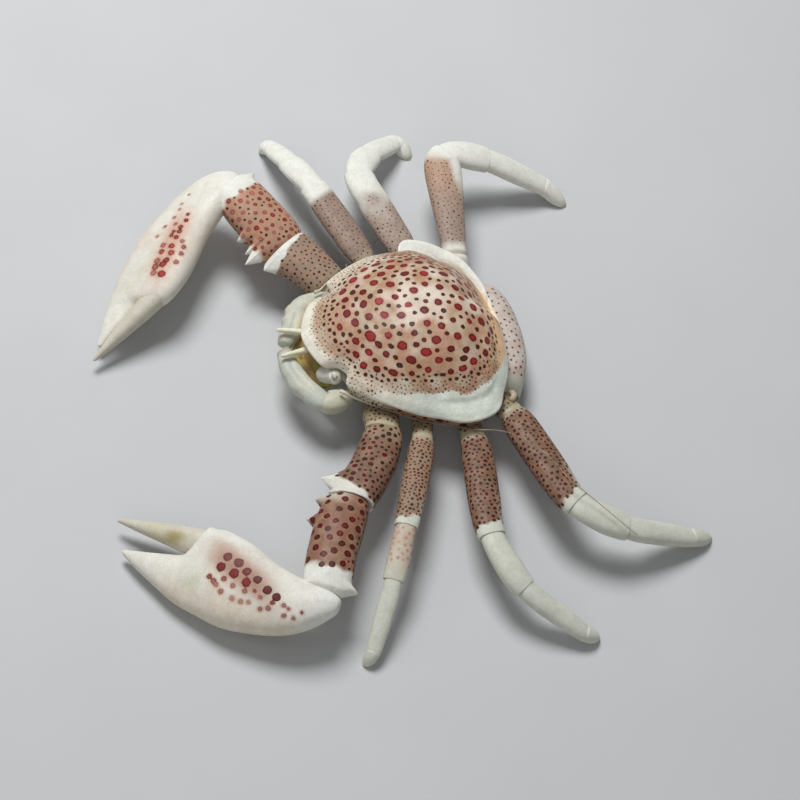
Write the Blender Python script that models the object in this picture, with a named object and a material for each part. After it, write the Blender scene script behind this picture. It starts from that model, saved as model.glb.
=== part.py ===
"""Porcelain anemone crab, life size and still, standing on a level floor.

The crab faces -Y, its left side is at +X and the floor is at z 0. Sizes below are in millimetres.
"""
import math

import bmesh
import bpy
from mathutils import Matrix, Vector

MM = 0.001
GAP = 0.3
RING = 12

# Carapace, seen from above: two half ovals that meet at its widest line.
CARAPACE_HALF_WIDTH = 11.3
WIDEST_Y = 2.5
FRONT_REACH = 13.55
REAR_REACH = 8.6
FRONT_POWER = 1.7
REAR_POWER = 2.8
ORBIT_ANGLE = math.radians(27)
ORBIT_HALF_ANGLE = math.radians(6)
ORBIT_DEPTH = 1.4
FLAP_ANGLE = math.radians(109)
FLAP_HALF_ANGLE = math.radians(17)
FLAP_OUT = 1.1
FLAP_UP = 0.3
RIM_POWER = 8
MARGIN_Z = 6.2
FRONT_RISE = 0.8
REAR_DROP = 0.3
# Cosine of the angle from straight ahead at which the margin has risen or fallen in full.
TILT_END = 0.6
DOME_HEIGHT = 5.2
DOME_POWER = 2.6
FLANK_DEPTH = 1.2
CARAPACE_SEGMENTS = 88
DOME_RINGS = (0.16, 0.32, 0.48, 0.62, 0.74, 0.84, 0.92, 0.97, 1.0)
FLANK_RINGS = ((0.975, 0.35), (0.965, 0.85), (0.93, 1.0), (0.7, 1.0), (0.4, 1.0))
# The flank is shallower at the front, between these cosines, and at the rear.
FLANK_FRONT_CUT = 0.5
FLANK_FRONT_SPAN = (0.55, 0.9)
FLANK_REAR_CUT = 0.35

THORAX_FRONT = Vector((0, -7.4, 3.5))
THORAX_REAR = Vector((0, 8.8, 3.8))
THORAX_HALF_WIDTH = 6.4
THORAX_HALF_HEIGHT = 1.05

# The pleon runs round behind the body and forward again under it.
PLEON_PATH = (
    (10.4, 4.3), (12.3, 4.45), (13.4, 3.8), (13.4, 2.8), (12.2, 1.9),
    (9.0, 1.35), (5.5, 1.25), (2.0, 1.3), (-1.0, 1.35), (-3.4, 1.45),
)
PLEON_HALF_WIDTHS = (5.9, 6.2, 6.3, 6.2, 6.0, 5.6, 5.2, 4.9, 4.6, 3.0)
PLEON_HALF_THICKNESS = 0.45
PLEON_CUTS = (0.0, 0.32, 0.55, 0.78, 1.0)
PLEON_BOW = 0.028

# Each eye sits in the notch of the rim, on a swollen stalk that points forward and inward.
EYE = Vector((4.9, -8.1, 5.7))
EYE_HALF = 0.78
STALK = Vector((4.05, -9.05, 5.3))
STALK_HALF = 0.93

# The body faces a little to its own right of the line that the legs are set on.
BODY_TURN = math.radians(-2.5)
BODY_SHIFT = Vector((-0.35, 0, 0))

# Each leg: where it leaves the thorax, then its joints out to the tip, on the left and on the right.
LEGS = {
    "leg_2": {
        "width": 2.75,
        "left": ((6.7, 0.8, 3.6), (12.3, -0.2, 4.3), (23.0, -4.5, 5.0), (28.6, -6.9, 4.0), (35.1, -10.1, 1.2),
                 (35.7, -11.0, 0.0)),
        "right": ((-6.7, 0.8, 3.6), (-12.2, -1.4, 4.3), (-22.5, -5.5, 5.3), (-27.5, -7.1, 3.9), (-33.0, -8.3, 1.2),
                  (-33.5, -9.0, 0.0)),
    },
    "leg_3": {
        "width": 3.2,
        "left": ((6.7, 4.6, 3.6), (12.8, 5.5, 4.3), (25.5, 4.2, 5.0), (31.6, 6.2, 4.0), (36.2, 12.0, 1.2),
                 (36.2, 13.6, 0.0)),
        "right": ((-6.7, 4.6, 3.6), (-12.5, 3.4, 4.3), (-23.6, 0.1, 5.6), (-27.9, 2.5, 3.6), (-31.9, 7.0, 0.9),
                  (-30.0, 8.1, 0.0)),
    },
    "leg_4": {
        "width": 3.55,
        "left": ((6.7, 8.0, 3.6), (10.2, 10.1, 4.3), (22.6, 13.3, 5.6), (25.9, 18.5, 4.4), (26.4, 26.3, 1.2),
                 (26.1, 28.8, 0.0)),
        "right": ((-6.7, 8.0, 3.6), (-11.4, 8.8, 4.3), (-25.0, 10.2, 6.4), (-24.6, 15.4, 5.0), (-22.7, 22.5, 1.6),
                  (-21.0, 24.8, 0.0)),
    },
}
MERUS_SHAPE = ((0.0, 0.40), (0.08, 0.47), (0.3, 0.5), (0.6, 0.5), (0.88, 0.45), (1.0, 0.38))
CARPUS_SHAPE = ((0.0, 0.33), (0.3, 0.37), (0.65, 0.41), (0.9, 0.39), (1.0, 0.33))
PROPODUS_SHAPE = ((0.0, 0.31), (0.2, 0.34), (0.55, 0.32), (0.85, 0.29), (1.0, 0.25))
DACTYL_SHAPE = ((0.0, 0.22), (0.35, 0.19), (0.7, 0.14), (1.0, 0.1))
LEG_FLATNESS = 0.62

# Chelipeds: joints, then the frame of the claw and the height of its wrist.
CHELIPEDS = {
    "left": {
        "root": Vector((6.7, -3.9, 3.8)),
        "base_end": Vector((10.7, -4.1, 4.4)),
        "knee": Vector((19.3, -9.4, 5.0)),
        "wrist": Vector((30.4, -14.8, 4.75)),
        "along": Vector((-0.555, -0.815, -0.15)),
        "across": Vector((-0.82, 0.5, 0.26)),
        "finger_tip": (23.4, 1.5),
        "scale": 0.985,
        "breadth": 0.985,
        "girth": 1.0,
    },
    "right": {
        "root": Vector((-6.7, -3.9, 3.8)),
        "base_end": Vector((-9.2, -5.4, 4.25)),
        "knee": Vector((-14.6, -9.6, 4.8)),
        "wrist": Vector((-22.9, -15.6, 6.2)),
        "along": Vector((0.75, -0.64, -0.17)),
        "across": Vector((0.62, 0.58, 0.53)),
        "finger_tip": (23.2, -0.9),
        "scale": 1.1,
        "breadth": 0.95,
        "girth": 1.1,
    },
}
# Along the article, half width on the inner and the outer side, and half thickness.
ARM_MERUS = (
    (0.0, 1.35, 1.35, 1.0), (0.12, 1.75, 1.6, 1.35), (0.5, 1.75, 2.1, 1.6), (0.64, 2.0, 2.2, 1.65),
    (0.8, 3.6, 2.25, 1.65), (0.88, 2.4, 2.25, 1.65), (1.0, 1.95, 2.0, 1.4),
)
ARM_CARPUS = (
    (0.0, 1.9, 1.8, 1.35), (0.07, 2.9, 2.0, 1.65), (0.13, 4.3, 2.05, 1.7), (0.2, 3.3, 2.05, 1.8),
    (0.32, 3.4, 2.0, 1.85), (0.39, 4.2, 2.0, 1.85), (0.46, 3.3, 2.0, 1.85), (0.8, 2.9, 2.1, 1.8),
    (0.93, 2.8, 2.5, 1.6), (1.0, 2.5, 2.2, 1.35),
)
# Along the claw, its lower and upper edge, and half thickness.
PALM = (
    (-1.5, -1.2, 0.0, 0.5), (-0.9, -2.2, 0.2, 1.1), (0.4, -3.5, 0.5, 1.6), (2.7, -4.8, 0.9, 2.0),
    (5.7, -5.6, 2.1, 2.2), (8.9, -6.0, 3.4, 2.3), (12.2, -5.5, 3.95, 2.1), (13.6, -5.3, 3.6, 1.9),
    (14.3, -5.1, 2.0, 1.75), (15.1, -4.8, 0.1, 1.5), (17.0, -4.0, -0.4, 1.15), (19.5, -2.9, -0.95, 0.8),
    (21.5, -1.85, -1.35, 0.3),
)
FINGER_START = (14.6, 1.9)
FINGER_FACE = (0.918, 0.397)
FINGER = ((0.0, 1.6, 1.6, 1.4), (0.25, 1.35, 1.25, 1.2), (0.6, 0.8, 0.75, 0.8), (0.85, 0.42, 0.42, 0.45),
          (1.0, 0.2, 0.2, 0.2))

# Mouth limbs, feelers and the small last legs, on the left side; the right side mirrors them, with the mouth
# limb held straighter.
MOUTH_BASE = (Vector((6.6, -6.9, 4.3)), Vector((7.2, -9.2, 4.6)))
MOUTH_PALP = (Vector((7.2, -9.2, 4.6)), Vector((0.2, -12.9, 4.6)))
MOUTH_PALP_BOW = {"left": Vector((0.3, -0.45, 0)), "right": Vector((-0.15, -0.22, 0))}
MOUTH_BASE_SHAPE = ((0.0, 0.9), (0.3, 1.25), (0.7, 1.35), (1.0, 1.05))
MOUTH_PALP_SHAPE = ((0.0, 0.95), (0.2, 1.05), (0.5, 1.05), (0.8, 0.95), (1.0, 0.65))
MOUTH_FLATNESS = 0.85
# The brush of mouth hairs behind them: how far forward, and its half width there.
MOUTH_BRUSH = ((-7.7, 4.3), (-8.8, 4.7), (-9.6, 4.1), (-10.4, 3.0), (-11.2, 1.5), (-11.6, 0.8))
MOUTH_BRUSH_Z = 3.5
MOUTH_BRUSH_HALF = 0.62
ANTENNULE = (Vector((1.2, -10.6, 5.95)), Vector((1.75, -13.2, 5.85)))
ANTENNULE_HALF = 0.3
ANTENNA_HALF = 0.26
PEDUNCLE_HALF = 0.5
ANTENNA_LEFT = ((5.6, -9.0, 6.4), (6.95, -7.65, 6.35), (8.5, -5.3, 6.15), (9.6, -3.1, 6.0), (10.8, -0.5, 5.7),
                (11.5, 2.0, 5.5), (12.5, 5.0, 5.55), (13.8, 8.3, 6.2), (17.4, 11.2, 7.2), (21.3, 12.8, 7.7),
                (24.0, 15.2, 7.0), (27.6, 18.9, 5.4))
ANTENNA_RIGHT = ((-7.1, -8.4, 6.4), (-8.4, -7.2, 6.5), (-9.8, -5.3, 6.5), (-11.0, -4.1, 5.7), (-12.0, -3.5, 4.0),
                 (-12.9, -2.9, 2.9), (-14.2, -1.2, 2.7), (-16.3, 1.2, 2.8), (-17.4, 2.5, 2.7))
LAST_LEG = (Vector((7.05, 10.05, 2.9)), Vector((7.35, 10.9, 4.2)), Vector((8.2, 10.95, 4.85)),
            Vector((8.9, 10.45, 5.05)))
LAST_LEG_HALF = 0.45

SPOTTED = ("shell_spotted", (0.80, 0.55, 0.45, 1), 0.35)
PALE = ("shell_pale", (0.88, 0.86, 0.80, 1), 0.35)
MAUVE = ("shell_mauve", (0.55, 0.38, 0.36, 1), 0.4)
UNDERSIDE = ("shell_underside", (0.80, 0.74, 0.66, 1), 0.45)
CORNEA = ("cornea", (0.12, 0.10, 0.09, 1), 0.15)
FEELER = ("feeler", (0.85, 0.82, 0.68, 1), 0.45)
BRUSH = ("mouth_brush", (0.33, 0.25, 0.10, 1), 0.6)

for old in list(bpy.data.objects):
    bpy.data.objects.remove(old, do_unlink=True)

crab = bpy.data.collections.new("porcelain_anemone_crab")
bpy.context.scene.collection.children.link(crab)


def material_of(look):
    name, colour, roughness = look
    material = bpy.data.materials.get(name)
    if material:
        return material
    material = bpy.data.materials.new(name)
    material.use_nodes = True
    shader = material.node_tree.nodes["Principled BSDF"]
    shader.inputs["Base Color"].default_value = colour
    shader.inputs["Roughness"].default_value = roughness
    shader.inputs["Metallic"].default_value = 0.0
    return material


def finish(name, look, shape, turned=False):
    """Turns a bmesh in millimetres into a smooth object in metres."""
    bmesh.ops.recalc_face_normals(shape, faces=shape.faces)
    if turned:
        bmesh.ops.rotate(shape, cent=(0, 0, 0), matrix=Matrix.Rotation(BODY_TURN, 3, "Z"), verts=shape.verts)
        bmesh.ops.translate(shape, vec=BODY_SHIFT, verts=shape.verts)
    bmesh.ops.scale(shape, vec=(MM, MM, MM), verts=shape.verts)
    mesh = bpy.data.meshes.new(name)
    shape.to_mesh(mesh)
    shape.free()
    mesh.shade_smooth()
    mesh.materials.append(material_of(look))
    made = bpy.data.objects.new(name, mesh)
    crab.objects.link(made)
    return made


def loft(rings):
    """A closed skin over rings of equal count, with flat caps."""
    shape = bmesh.new()
    loops = [[shape.verts.new(point) for point in ring] for ring in rings]
    count = len(loops[0])
    for near, far in zip(loops[:-1], loops[1:]):
        for i in range(count):
            j = (i + 1) % count
            shape.faces.new((near[i], near[j], far[j], far[i]))
    for end in (loops[0], loops[-1]):
        for i in range(count // 2 - 1):
            shape.faces.new((end[i], end[i + 1], end[count - 2 - i], end[count - 1 - i]))
    return shape


def section(half_width, half_height, power, count=RING):
    """Points of a rounded flat section about its own centre."""
    points = []
    for i in range(count):
        turn = 2 * math.pi * (i + 0.5) / count
        side = math.cos(turn)
        rise = math.sin(turn)
        points.append((
            half_width * math.copysign(abs(side) ** (2 / power), side),
            half_height * math.copysign(abs(rise) ** (2 / power), rise),
        ))
    return points


def between(first, second):
    """Normal of the plane in which two articles meet."""
    return (first.normalized() + second.normalized()).normalized()


def cut_at_floor(shape):
    """Cuts a small flat where the shape dips below the floor."""
    everything = shape.verts[:] + shape.edges[:] + shape.faces[:]
    cut = bmesh.ops.bisect_plane(shape, geom=everything, plane_co=(0, 0, 0), plane_no=(0, 0, 1), clear_inner=True)
    edges = [item for item in cut["geom_cut"] if isinstance(item, bmesh.types.BMEdge)]
    if edges:
        bmesh.ops.contextual_create(shape, geom=edges)


def article(start, end, inner, stations, near=None, far=None, bow=Vector(), power=2.3, gaps=(GAP / 2, GAP / 2)):
    """One piece of a limb between two joints, with its ends in the given planes."""
    axis = (end - start).normalized()
    length = (end - start).length
    near = near or axis
    far = far or axis
    across = (inner - axis * inner.dot(axis)).normalized()
    up = axis.cross(across)
    if up.z < 0:
        up = -up
    rings = []
    for place, inside, outside, thick in stations:
        ring = []
        for side, rise in section((inside + outside) / 2, thick, power):
            offset = across * (side + (inside - outside) / 2) + up * rise
            first = (gaps[0] - offset.dot(near)) / axis.dot(near)
            last = length + (-gaps[1] - offset.dot(far)) / axis.dot(far)
            along = first + (last - first) * place
            ring.append(start + offset + axis * along + bow * math.sin(math.pi * place))
        rings.append(ring)
    return loft(rings)


def even(shape, width, flatness):
    """Stations of an article that is alike on both sides."""
    return [(place, half * width, half * width, half * width * flatness) for place, half in shape]


def along_path(points, halves, power=2.0, count=8):
    """A round tapering tube through the points."""
    rings = []
    for i, centre in enumerate(points):
        ahead = points[min(i + 1, len(points) - 1)] - points[max(i - 1, 0)]
        ahead.normalize()
        side = ahead.cross(Vector((0, 0, 1))).normalized()
        rise = side.cross(ahead)
        rings.append([centre + side * a + rise * b for a, b in section(halves[i], halves[i], power, count)])
    return loft(rings)


def smooth_path(points, count):
    """Evenly spread points on a rounded line through the given ones."""
    fine = []
    for i in range(len(points) - 1):
        before = points[max(i - 1, 0)]
        here = points[i]
        there = points[i + 1]
        after = points[min(i + 2, len(points) - 1)]
        for k in range(8):
            t = k / 8
            fine.append(0.5 * (
                2 * here + (there - before) * t + (2 * before - 5 * here + 4 * there - after) * t ** 2
                + (3 * here - before - 3 * there + after) * t ** 3))
    fine.append(points[-1])
    lengths = [0.0]
    for a, b in zip(fine[:-1], fine[1:]):
        lengths.append(lengths[-1] + (b - a).length)
    spread = []
    for k in range(count):
        wanted = lengths[-1] * k / (count - 1)
        i = max(j for j in range(len(fine) - 1) if lengths[j] <= wanted + 1e-9)
        t = (wanted - lengths[i]) / (lengths[i + 1] - lengths[i])
        spread.append(fine[i].lerp(fine[i + 1], t))
    return spread


def bump(value, centre, half, power=4):
    return math.exp(-abs((value - centre) / half) ** power)


def carapace_reach(turn, share):
    """How far out a ring of the carapace lies, by the angle from straight ahead; the margin is the ring of share 1."""
    side = abs(math.sin(turn))
    ahead = math.cos(turn)
    deep, power = (FRONT_REACH, FRONT_POWER) if ahead > 0 else (REAR_REACH, REAR_POWER)
    oval = ((side / CARAPACE_HALF_WIDTH) ** power + (abs(ahead) / deep) ** power) ** (-1 / power)
    angle = abs(math.atan2(math.sin(turn), ahead))
    notch = ORBIT_DEPTH * bump(angle, ORBIT_ANGLE, ORBIT_HALF_ANGLE)
    flap = FLAP_OUT * bump(angle, FLAP_ANGLE, FLAP_HALF_ANGLE)
    return oval * share + (flap - notch) * share ** RIM_POWER


def ramp(value, low, high):
    share = max(0.0, min(1.0, (value - low) / (high - low)))
    return share * share * (3 - 2 * share)


def margin_height(turn):
    """The margin rises towards the front and falls a little behind."""
    angle = abs(math.atan2(math.sin(turn), math.cos(turn)))
    ahead = math.cos(turn)
    tilt = FRONT_RISE * ramp(ahead, 0.0, TILT_END) - REAR_DROP * ramp(-ahead, 0.0, TILT_END)
    return MARGIN_Z + tilt + FLAP_UP * bump(angle, FLAP_ANGLE, FLAP_HALF_ANGLE)


def flank_depth(turn):
    ahead = math.cos(turn)
    front = FLANK_FRONT_CUT * ramp(ahead, *FLANK_FRONT_SPAN)
    rear = FLANK_REAR_CUT * ramp(-ahead, 0.0, TILT_END)
    return FLANK_DEPTH * (1 - front - rear)


def make_carapace():
    """A sphere pulled into the domed shell, with its flank and flat underside."""
    profile = [(share, None) for share in DOME_RINGS] + list(FLANK_RINGS)
    shape = bmesh.new()
    bmesh.ops.create_uvsphere(shape, u_segments=CARAPACE_SEGMENTS, v_segments=len(profile) + 1, radius=1.0)
    step = math.pi / (len(profile) + 1)
    for vert in shape.verts:
        level = round(math.acos(max(-1.0, min(1.0, vert.co.z))) / step)
        around = math.atan2(vert.co.x, -vert.co.y)
        turn = around - 0.35 * math.sin(around)
        if level == 0:
            vert.co = Vector((0, WIDEST_Y, MARGIN_Z + DOME_HEIGHT))
            continue
        if level == len(profile) + 1:
            vert.co = Vector((0, WIDEST_Y, MARGIN_Z - FLANK_DEPTH))
            continue
        share, drop = profile[level - 1]
        height = MARGIN_Z + (margin_height(turn) - MARGIN_Z) * share ** 3
        if drop is None:
            height += DOME_HEIGHT * (1 - share ** DOME_POWER)
        else:
            height -= drop * flank_depth(turn)
        far = carapace_reach(turn, share)
        vert.co = Vector((far * math.sin(turn), WIDEST_Y - far * math.cos(turn), height))
    finish("carapace", SPOTTED, shape, turned=True)


def make_thorax():
    half = THORAX_HALF_WIDTH
    high = THORAX_HALF_HEIGHT
    stations = [
        (0.0, 3.0, 3.0, high * 0.7), (0.15, half - 0.5, half - 0.5, high * 0.9), (0.3, half, half, high),
        (0.9, half, half, high), (1.0, half - 1.2, half - 1.2, high * 0.8),
    ]
    shape = article(THORAX_FRONT, THORAX_REAR, Vector((1, 0, 0)), stations, power=5.0)
    finish("thorax", UNDERSIDE, shape, turned=True)


def make_pleon():
    names = ("pleon_1", "pleon_2", "pleon_3", "tail_fan")
    path = [Vector((half, y, z)) for (y, z), half in zip(PLEON_PATH, PLEON_HALF_WIDTHS)]
    fine = smooth_path(path, 101)
    for name, first, last in zip(names, PLEON_CUTS[:-1], PLEON_CUTS[1:]):
        rings = []
        picks = 8
        for k in range(picks):
            spot = 100 * (first + (last - first) * k / (picks - 1))
            i = round(spot)
            here = fine[i]
            ahead = fine[min(i + 1, 100)] - fine[max(i - 1, 0)]
            tangent = Vector((0, ahead.y, ahead.z)).normalized()
            lift = Vector((1, 0, 0)).cross(tangent)
            centre = Vector((0, here.y, here.z))
            if k == 0 and first > 0:
                centre += tangent * GAP / 2
            if k == picks - 1 and last < 1:
                centre -= tangent * GAP / 2
            ring = []
            for side, rise in section(here.x, PLEON_HALF_THICKNESS, 3.5):
                point = centre + Vector((side, 0, 0)) + lift * rise
                back = max(0.0, min(1.0, (here.y - 6) / 5))
                point.y -= PLEON_BOW * side ** 2 * back
                ring.append(point)
            rings.append(ring)
        finish(name, PALE if name == "pleon_1" else UNDERSIDE, loft(rings), turned=True)


def mirrored(vector, sign):
    return Vector((vector.x * sign, vector.y, vector.z))


def make_head(side, sign):
    inner, outer = mirrored(STALK, sign), mirrored(EYE, sign)
    axis = (outer - inner).normalized()
    caps = ((0.87, 0.5), (0.5, 0.87), (0.0, 1.0))
    points = [inner - axis * STALK_HALF * ahead for ahead, _ in caps]
    points += [outer + axis * EYE_HALF * ahead for ahead, _ in reversed(caps)]
    halves = [STALK_HALF * round_share for _, round_share in caps]
    halves += [EYE_HALF * round_share for _, round_share in reversed(caps)]
    finish("eye_" + side, CORNEA, along_path(points, halves, count=12), turned=True)

    start, end = (mirrored(point, sign) for point in ANTENNULE)
    half = ANTENNULE_HALF
    shape = along_path([start, start.lerp(end, 0.5), end], [half, half, half * 0.7])
    finish("antennule_" + side, FEELER, shape, turned=True)

    base = [mirrored(point, sign) for point in MOUTH_BASE]
    palp = [mirrored(point, sign) for point in MOUTH_PALP]
    joint = between(base[1] - base[0], palp[1] - palp[0])
    outward = Vector((sign, 0, 0))
    shape = article(base[0], base[1], outward, even(MOUTH_BASE_SHAPE, 1.0, MOUTH_FLATNESS), far=joint)
    finish("maxilliped_base_" + side, PALE, shape, turned=True)
    shape = article(palp[0], palp[1], Vector((0, -1, 0)), even(MOUTH_PALP_SHAPE, 1.0, MOUTH_FLATNESS), near=joint,
                    far=Vector((-sign, 0, 0)), bow=MOUTH_PALP_BOW[side])
    finish("maxilliped_palp_" + side, PALE, shape, turned=True)

    points = [Vector(point) for point in (ANTENNA_LEFT if sign > 0 else ANTENNA_RIGHT)]
    path = smooth_path(points, 20)
    halves = [PEDUNCLE_HALF if i < 2 else ANTENNA_HALF * (1.3 if i == 2 else 1.0) for i in range(20)]
    finish("antenna_" + side, FEELER, along_path(path, halves, count=6))

    path = smooth_path([mirrored(point, sign) for point in LAST_LEG], 8)
    halves = [LAST_LEG_HALF * (1 - 0.04 * i) for i in range(8)]
    finish("leg_5_" + side, PALE, along_path(path, halves))


def make_mouth_brush():
    rings = []
    for y, half in MOUTH_BRUSH:
        centre = Vector((0, y, MOUTH_BRUSH_Z))
        rings.append([centre + Vector((a, 0, b)) for a, b in section(half, MOUTH_BRUSH_HALF, 3.0)])
    finish("mouth_brush", BRUSH, loft(rings), turned=True)


def make_leg(leg, side, sign):
    sizes = LEGS[leg]
    joints = [Vector(point) for point in sizes[side]]
    width = sizes["width"]
    ahead = Vector((0, -1, 0))
    runs = [b - a for a, b in zip(joints[:-1], joints[1:])]
    planes = [Vector((sign, 0, 0))] + [between(a, b) for a, b in zip(runs[:-1], runs[1:])] + [Vector((0, 0, -1))]
    base = ((0.0, 0.36), (0.5, 0.4), (1.0, 0.37))
    parts = (("base", base, MAUVE), ("merus", MERUS_SHAPE, MAUVE), ("carpus", CARPUS_SHAPE, PALE),
             ("propodus", PROPODUS_SHAPE, PALE), ("dactyl", DACTYL_SHAPE, PALE))
    for i, (part, shape, look) in enumerate(parts):
        last = i == len(parts) - 1
        stations = even(shape, width, LEG_FLATNESS if not last else 0.8)
        made = article(joints[i], joints[i + 1], ahead if i < 3 else Vector((0, 0, 1)).cross(runs[i]), stations,
                       near=planes[i], far=planes[i + 1], gaps=(GAP / 2, 0.0 if last else GAP / 2))
        finish("_".join((leg, part, side)), look, made)


def make_cheliped(side, sign):
    arm = CHELIPEDS[side]
    along = arm["along"].normalized()
    across = (arm["across"] - along * arm["across"].dot(along)).normalized()
    up = along.cross(across)
    if up.z < 0:
        up = -up
    scale = arm["scale"]
    breadth = arm["breadth"]
    carpus_end = arm["wrist"] + across * breadth * 1.35
    runs = [arm["base_end"] - arm["root"], arm["knee"] - arm["base_end"], carpus_end - arm["knee"]]
    front = Vector((0, -1, 0))
    base = [(place, half, half, half * 0.75) for place, half in ((0.0, 1.4), (0.5, 1.5), (1.0, 1.35))]
    merus, carpus = (
        [(place, a * arm["girth"], b * arm["girth"], c) for place, a, b, c in stations]
        for stations in (ARM_MERUS, ARM_CARPUS)
    )
    first = between(runs[0], runs[1])
    second = between(runs[1], runs[2])
    shape = article(arm["root"], arm["base_end"], front, base, near=Vector((sign, 0, 0)), far=first)
    finish("cheliped_base_" + side, MAUVE, shape)
    shape = article(arm["base_end"], arm["knee"], front, merus, near=first, far=second, power=2.2)
    finish("cheliped_merus_" + side, MAUVE, shape)
    shape = article(arm["knee"], carpus_end, front, carpus, near=second, far=-across, power=2.2)
    finish("cheliped_carpus_" + side, SPOTTED, shape)

    rings = []
    for place, low, high, thick in PALM:
        centre = arm["wrist"] + along * place * scale + across * (low + high) / 2 * breadth
        rings.append([
            centre + across * a + up * b
            for a, b in section((high - low) / 2 * breadth, thick * breadth, 2.2, 16)
        ])
    shape = loft(rings)
    cut_at_floor(shape)
    finish("palm_" + side, PALE, shape)

    start, end = (
        arm["wrist"] + along * place * scale + across * aside * breadth
        for place, aside in (FINGER_START, arm["finger_tip"])
    )
    face = along * FINGER_FACE[0] + across * FINGER_FACE[1]
    stations = [(place, a * breadth, b * breadth, c * breadth) for place, a, b, c in FINGER]
    shape = article(start, end, across, stations, near=face, gaps=(GAP, 0.0))
    cut_at_floor(shape)
    finish("finger_" + side, PALE, shape)


make_carapace()
make_thorax()
make_pleon()
make_mouth_brush()
for side_name, side_sign in (("left", 1), ("right", -1)):
    make_head(side_name, side_sign)
    make_cheliped(side_name, side_sign)
    for leg_name in LEGS:
        make_leg(leg_name, side_name, side_sign)

points = [vert.co for made in crab.objects for vert in made.data.vertices]
middle = Vector((
    (min(p.x for p in points) + max(p.x for p in points)) / 2,
    (min(p.y for p in points) + max(p.y for p in points)) / 2,
    min(p.z for p in points),
))
for made in crab.objects:
    for vert in made.data.vertices:
        vert.co -= middle
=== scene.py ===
"""Porcelain anemone crab in its finished looks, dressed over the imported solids.

Shapes are made in millimetres in the crab's own frame: it faces -Y, its left side is at +X and the floor
is at z 0.
"""

import math

import bpy
import numpy as np
from mathutils import Matrix, Vector


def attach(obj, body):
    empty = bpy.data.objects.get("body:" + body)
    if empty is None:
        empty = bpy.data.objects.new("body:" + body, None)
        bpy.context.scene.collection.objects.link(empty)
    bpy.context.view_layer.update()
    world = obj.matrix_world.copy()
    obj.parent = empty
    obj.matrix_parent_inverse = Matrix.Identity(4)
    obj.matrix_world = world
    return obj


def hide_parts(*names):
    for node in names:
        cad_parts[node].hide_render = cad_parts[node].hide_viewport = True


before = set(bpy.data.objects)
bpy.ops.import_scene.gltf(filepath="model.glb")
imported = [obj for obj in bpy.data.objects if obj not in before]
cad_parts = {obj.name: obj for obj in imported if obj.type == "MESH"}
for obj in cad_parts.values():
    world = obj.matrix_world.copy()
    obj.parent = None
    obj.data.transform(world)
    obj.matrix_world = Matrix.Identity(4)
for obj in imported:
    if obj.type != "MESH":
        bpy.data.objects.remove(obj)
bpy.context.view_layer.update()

MM = 0.001
# The middle of the row's box in the crab's frame.
MIDDLE = Vector((1.5547, -1.8060, 0))
ROW = Matrix.Scale(MM, 4) @ Matrix.Translation(-MIDDLE)
BODY = Matrix.Translation((-0.35, 0, 0)) @ Matrix.Rotation(math.radians(-2.5), 4, "Z")
STILL = Matrix.Identity(4)

# The carapace seen from above: two half ovals that meet at its widest line.
HALF_WIDTH = 11.3
WIDEST_Y = 2.5
FRONT_REACH = 13.55
REAR_REACH = 8.6
FRONT_POWER = 1.7
REAR_POWER = 2.8
ORBIT_ANGLE = math.radians(27)
ORBIT_HALF_ANGLE = math.radians(6)
ORBIT_DEPTH = 1.25
# The left side flap, and the narrow blade in its place on the right.
FLAP_ANGLE = math.radians(109)
FLAP_HALF_ANGLE = math.radians(17)
FLAP_OUT = 1.1
FLAP_UP = 0.3
BLADE_OUT = 1.3
BLADE_TIP = (math.radians(85), math.radians(91))
BLADE_END = math.radians(143)
# How sharply notches and flaps, and the blade, are kept to the rim.
RIM_POWER = 8
BLADE_POWER = 30
MARGIN_Z = 6.2
FRONT_RISE = 0.8
REAR_DROP = 0.3
# Cosine of the angle from straight ahead at which the margin has risen or fallen in full.
TILT_END = 0.6
# How far the right rear quarter is let down at its rim, and its dome above that.
RIGHT_RIM_FALL = 0.85
RIGHT_DOME_FALL = 1.15
DOME_HEIGHT = 5.16
DOME_POWER = 2.6
# Points along each side of the grid that becomes the shell.
GRID = 250
# The flank is deeper round this angle on the left.
FLANK_ANGLE = math.radians(45)
FLANK_HALF_ANGLE = math.radians(11)
FLANK_EXTRA = 0.55
# Under the rim, ring by ring: how far in and how far down, in mm.
FLANK = ((0.0, 0.1), (0.03, 0.22), (0.12, 0.32), (0.25, 0.37), (0.36, 0.45), (0.38, 0.62), (0.36, 0.85),
         (0.36, 1.1), (0.4, 1.35), (0.6, 1.6), (1.1, 1.75), (3.0, 1.85), (6.5, 1.85))

THORAX = (Vector((0, -7.4, 3.5)), Vector((0, 8.8, 3.8)))

# Each eye sits in the notch of the rim, on a swollen stalk that points forward and inward.
EYE = Vector((4.9, -8.1, 5.7))
EYE_RADIUS = 0.82
EYE_LIFT = 0.12
STALK = Vector((4.05, -9.05, 5.3))
STALK_SHAPE = ((0.0, 0.9, 0.9, 0.82), (0.4, 0.9, 0.9, 0.82), (1.0, 0.66, 0.66, 0.66))
# The squiggle and the pale ring on the eye: their middle's height, and the ring's radius.
SQUIGGLE_Z = 0.56
EYE_RING = 0.46

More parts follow.
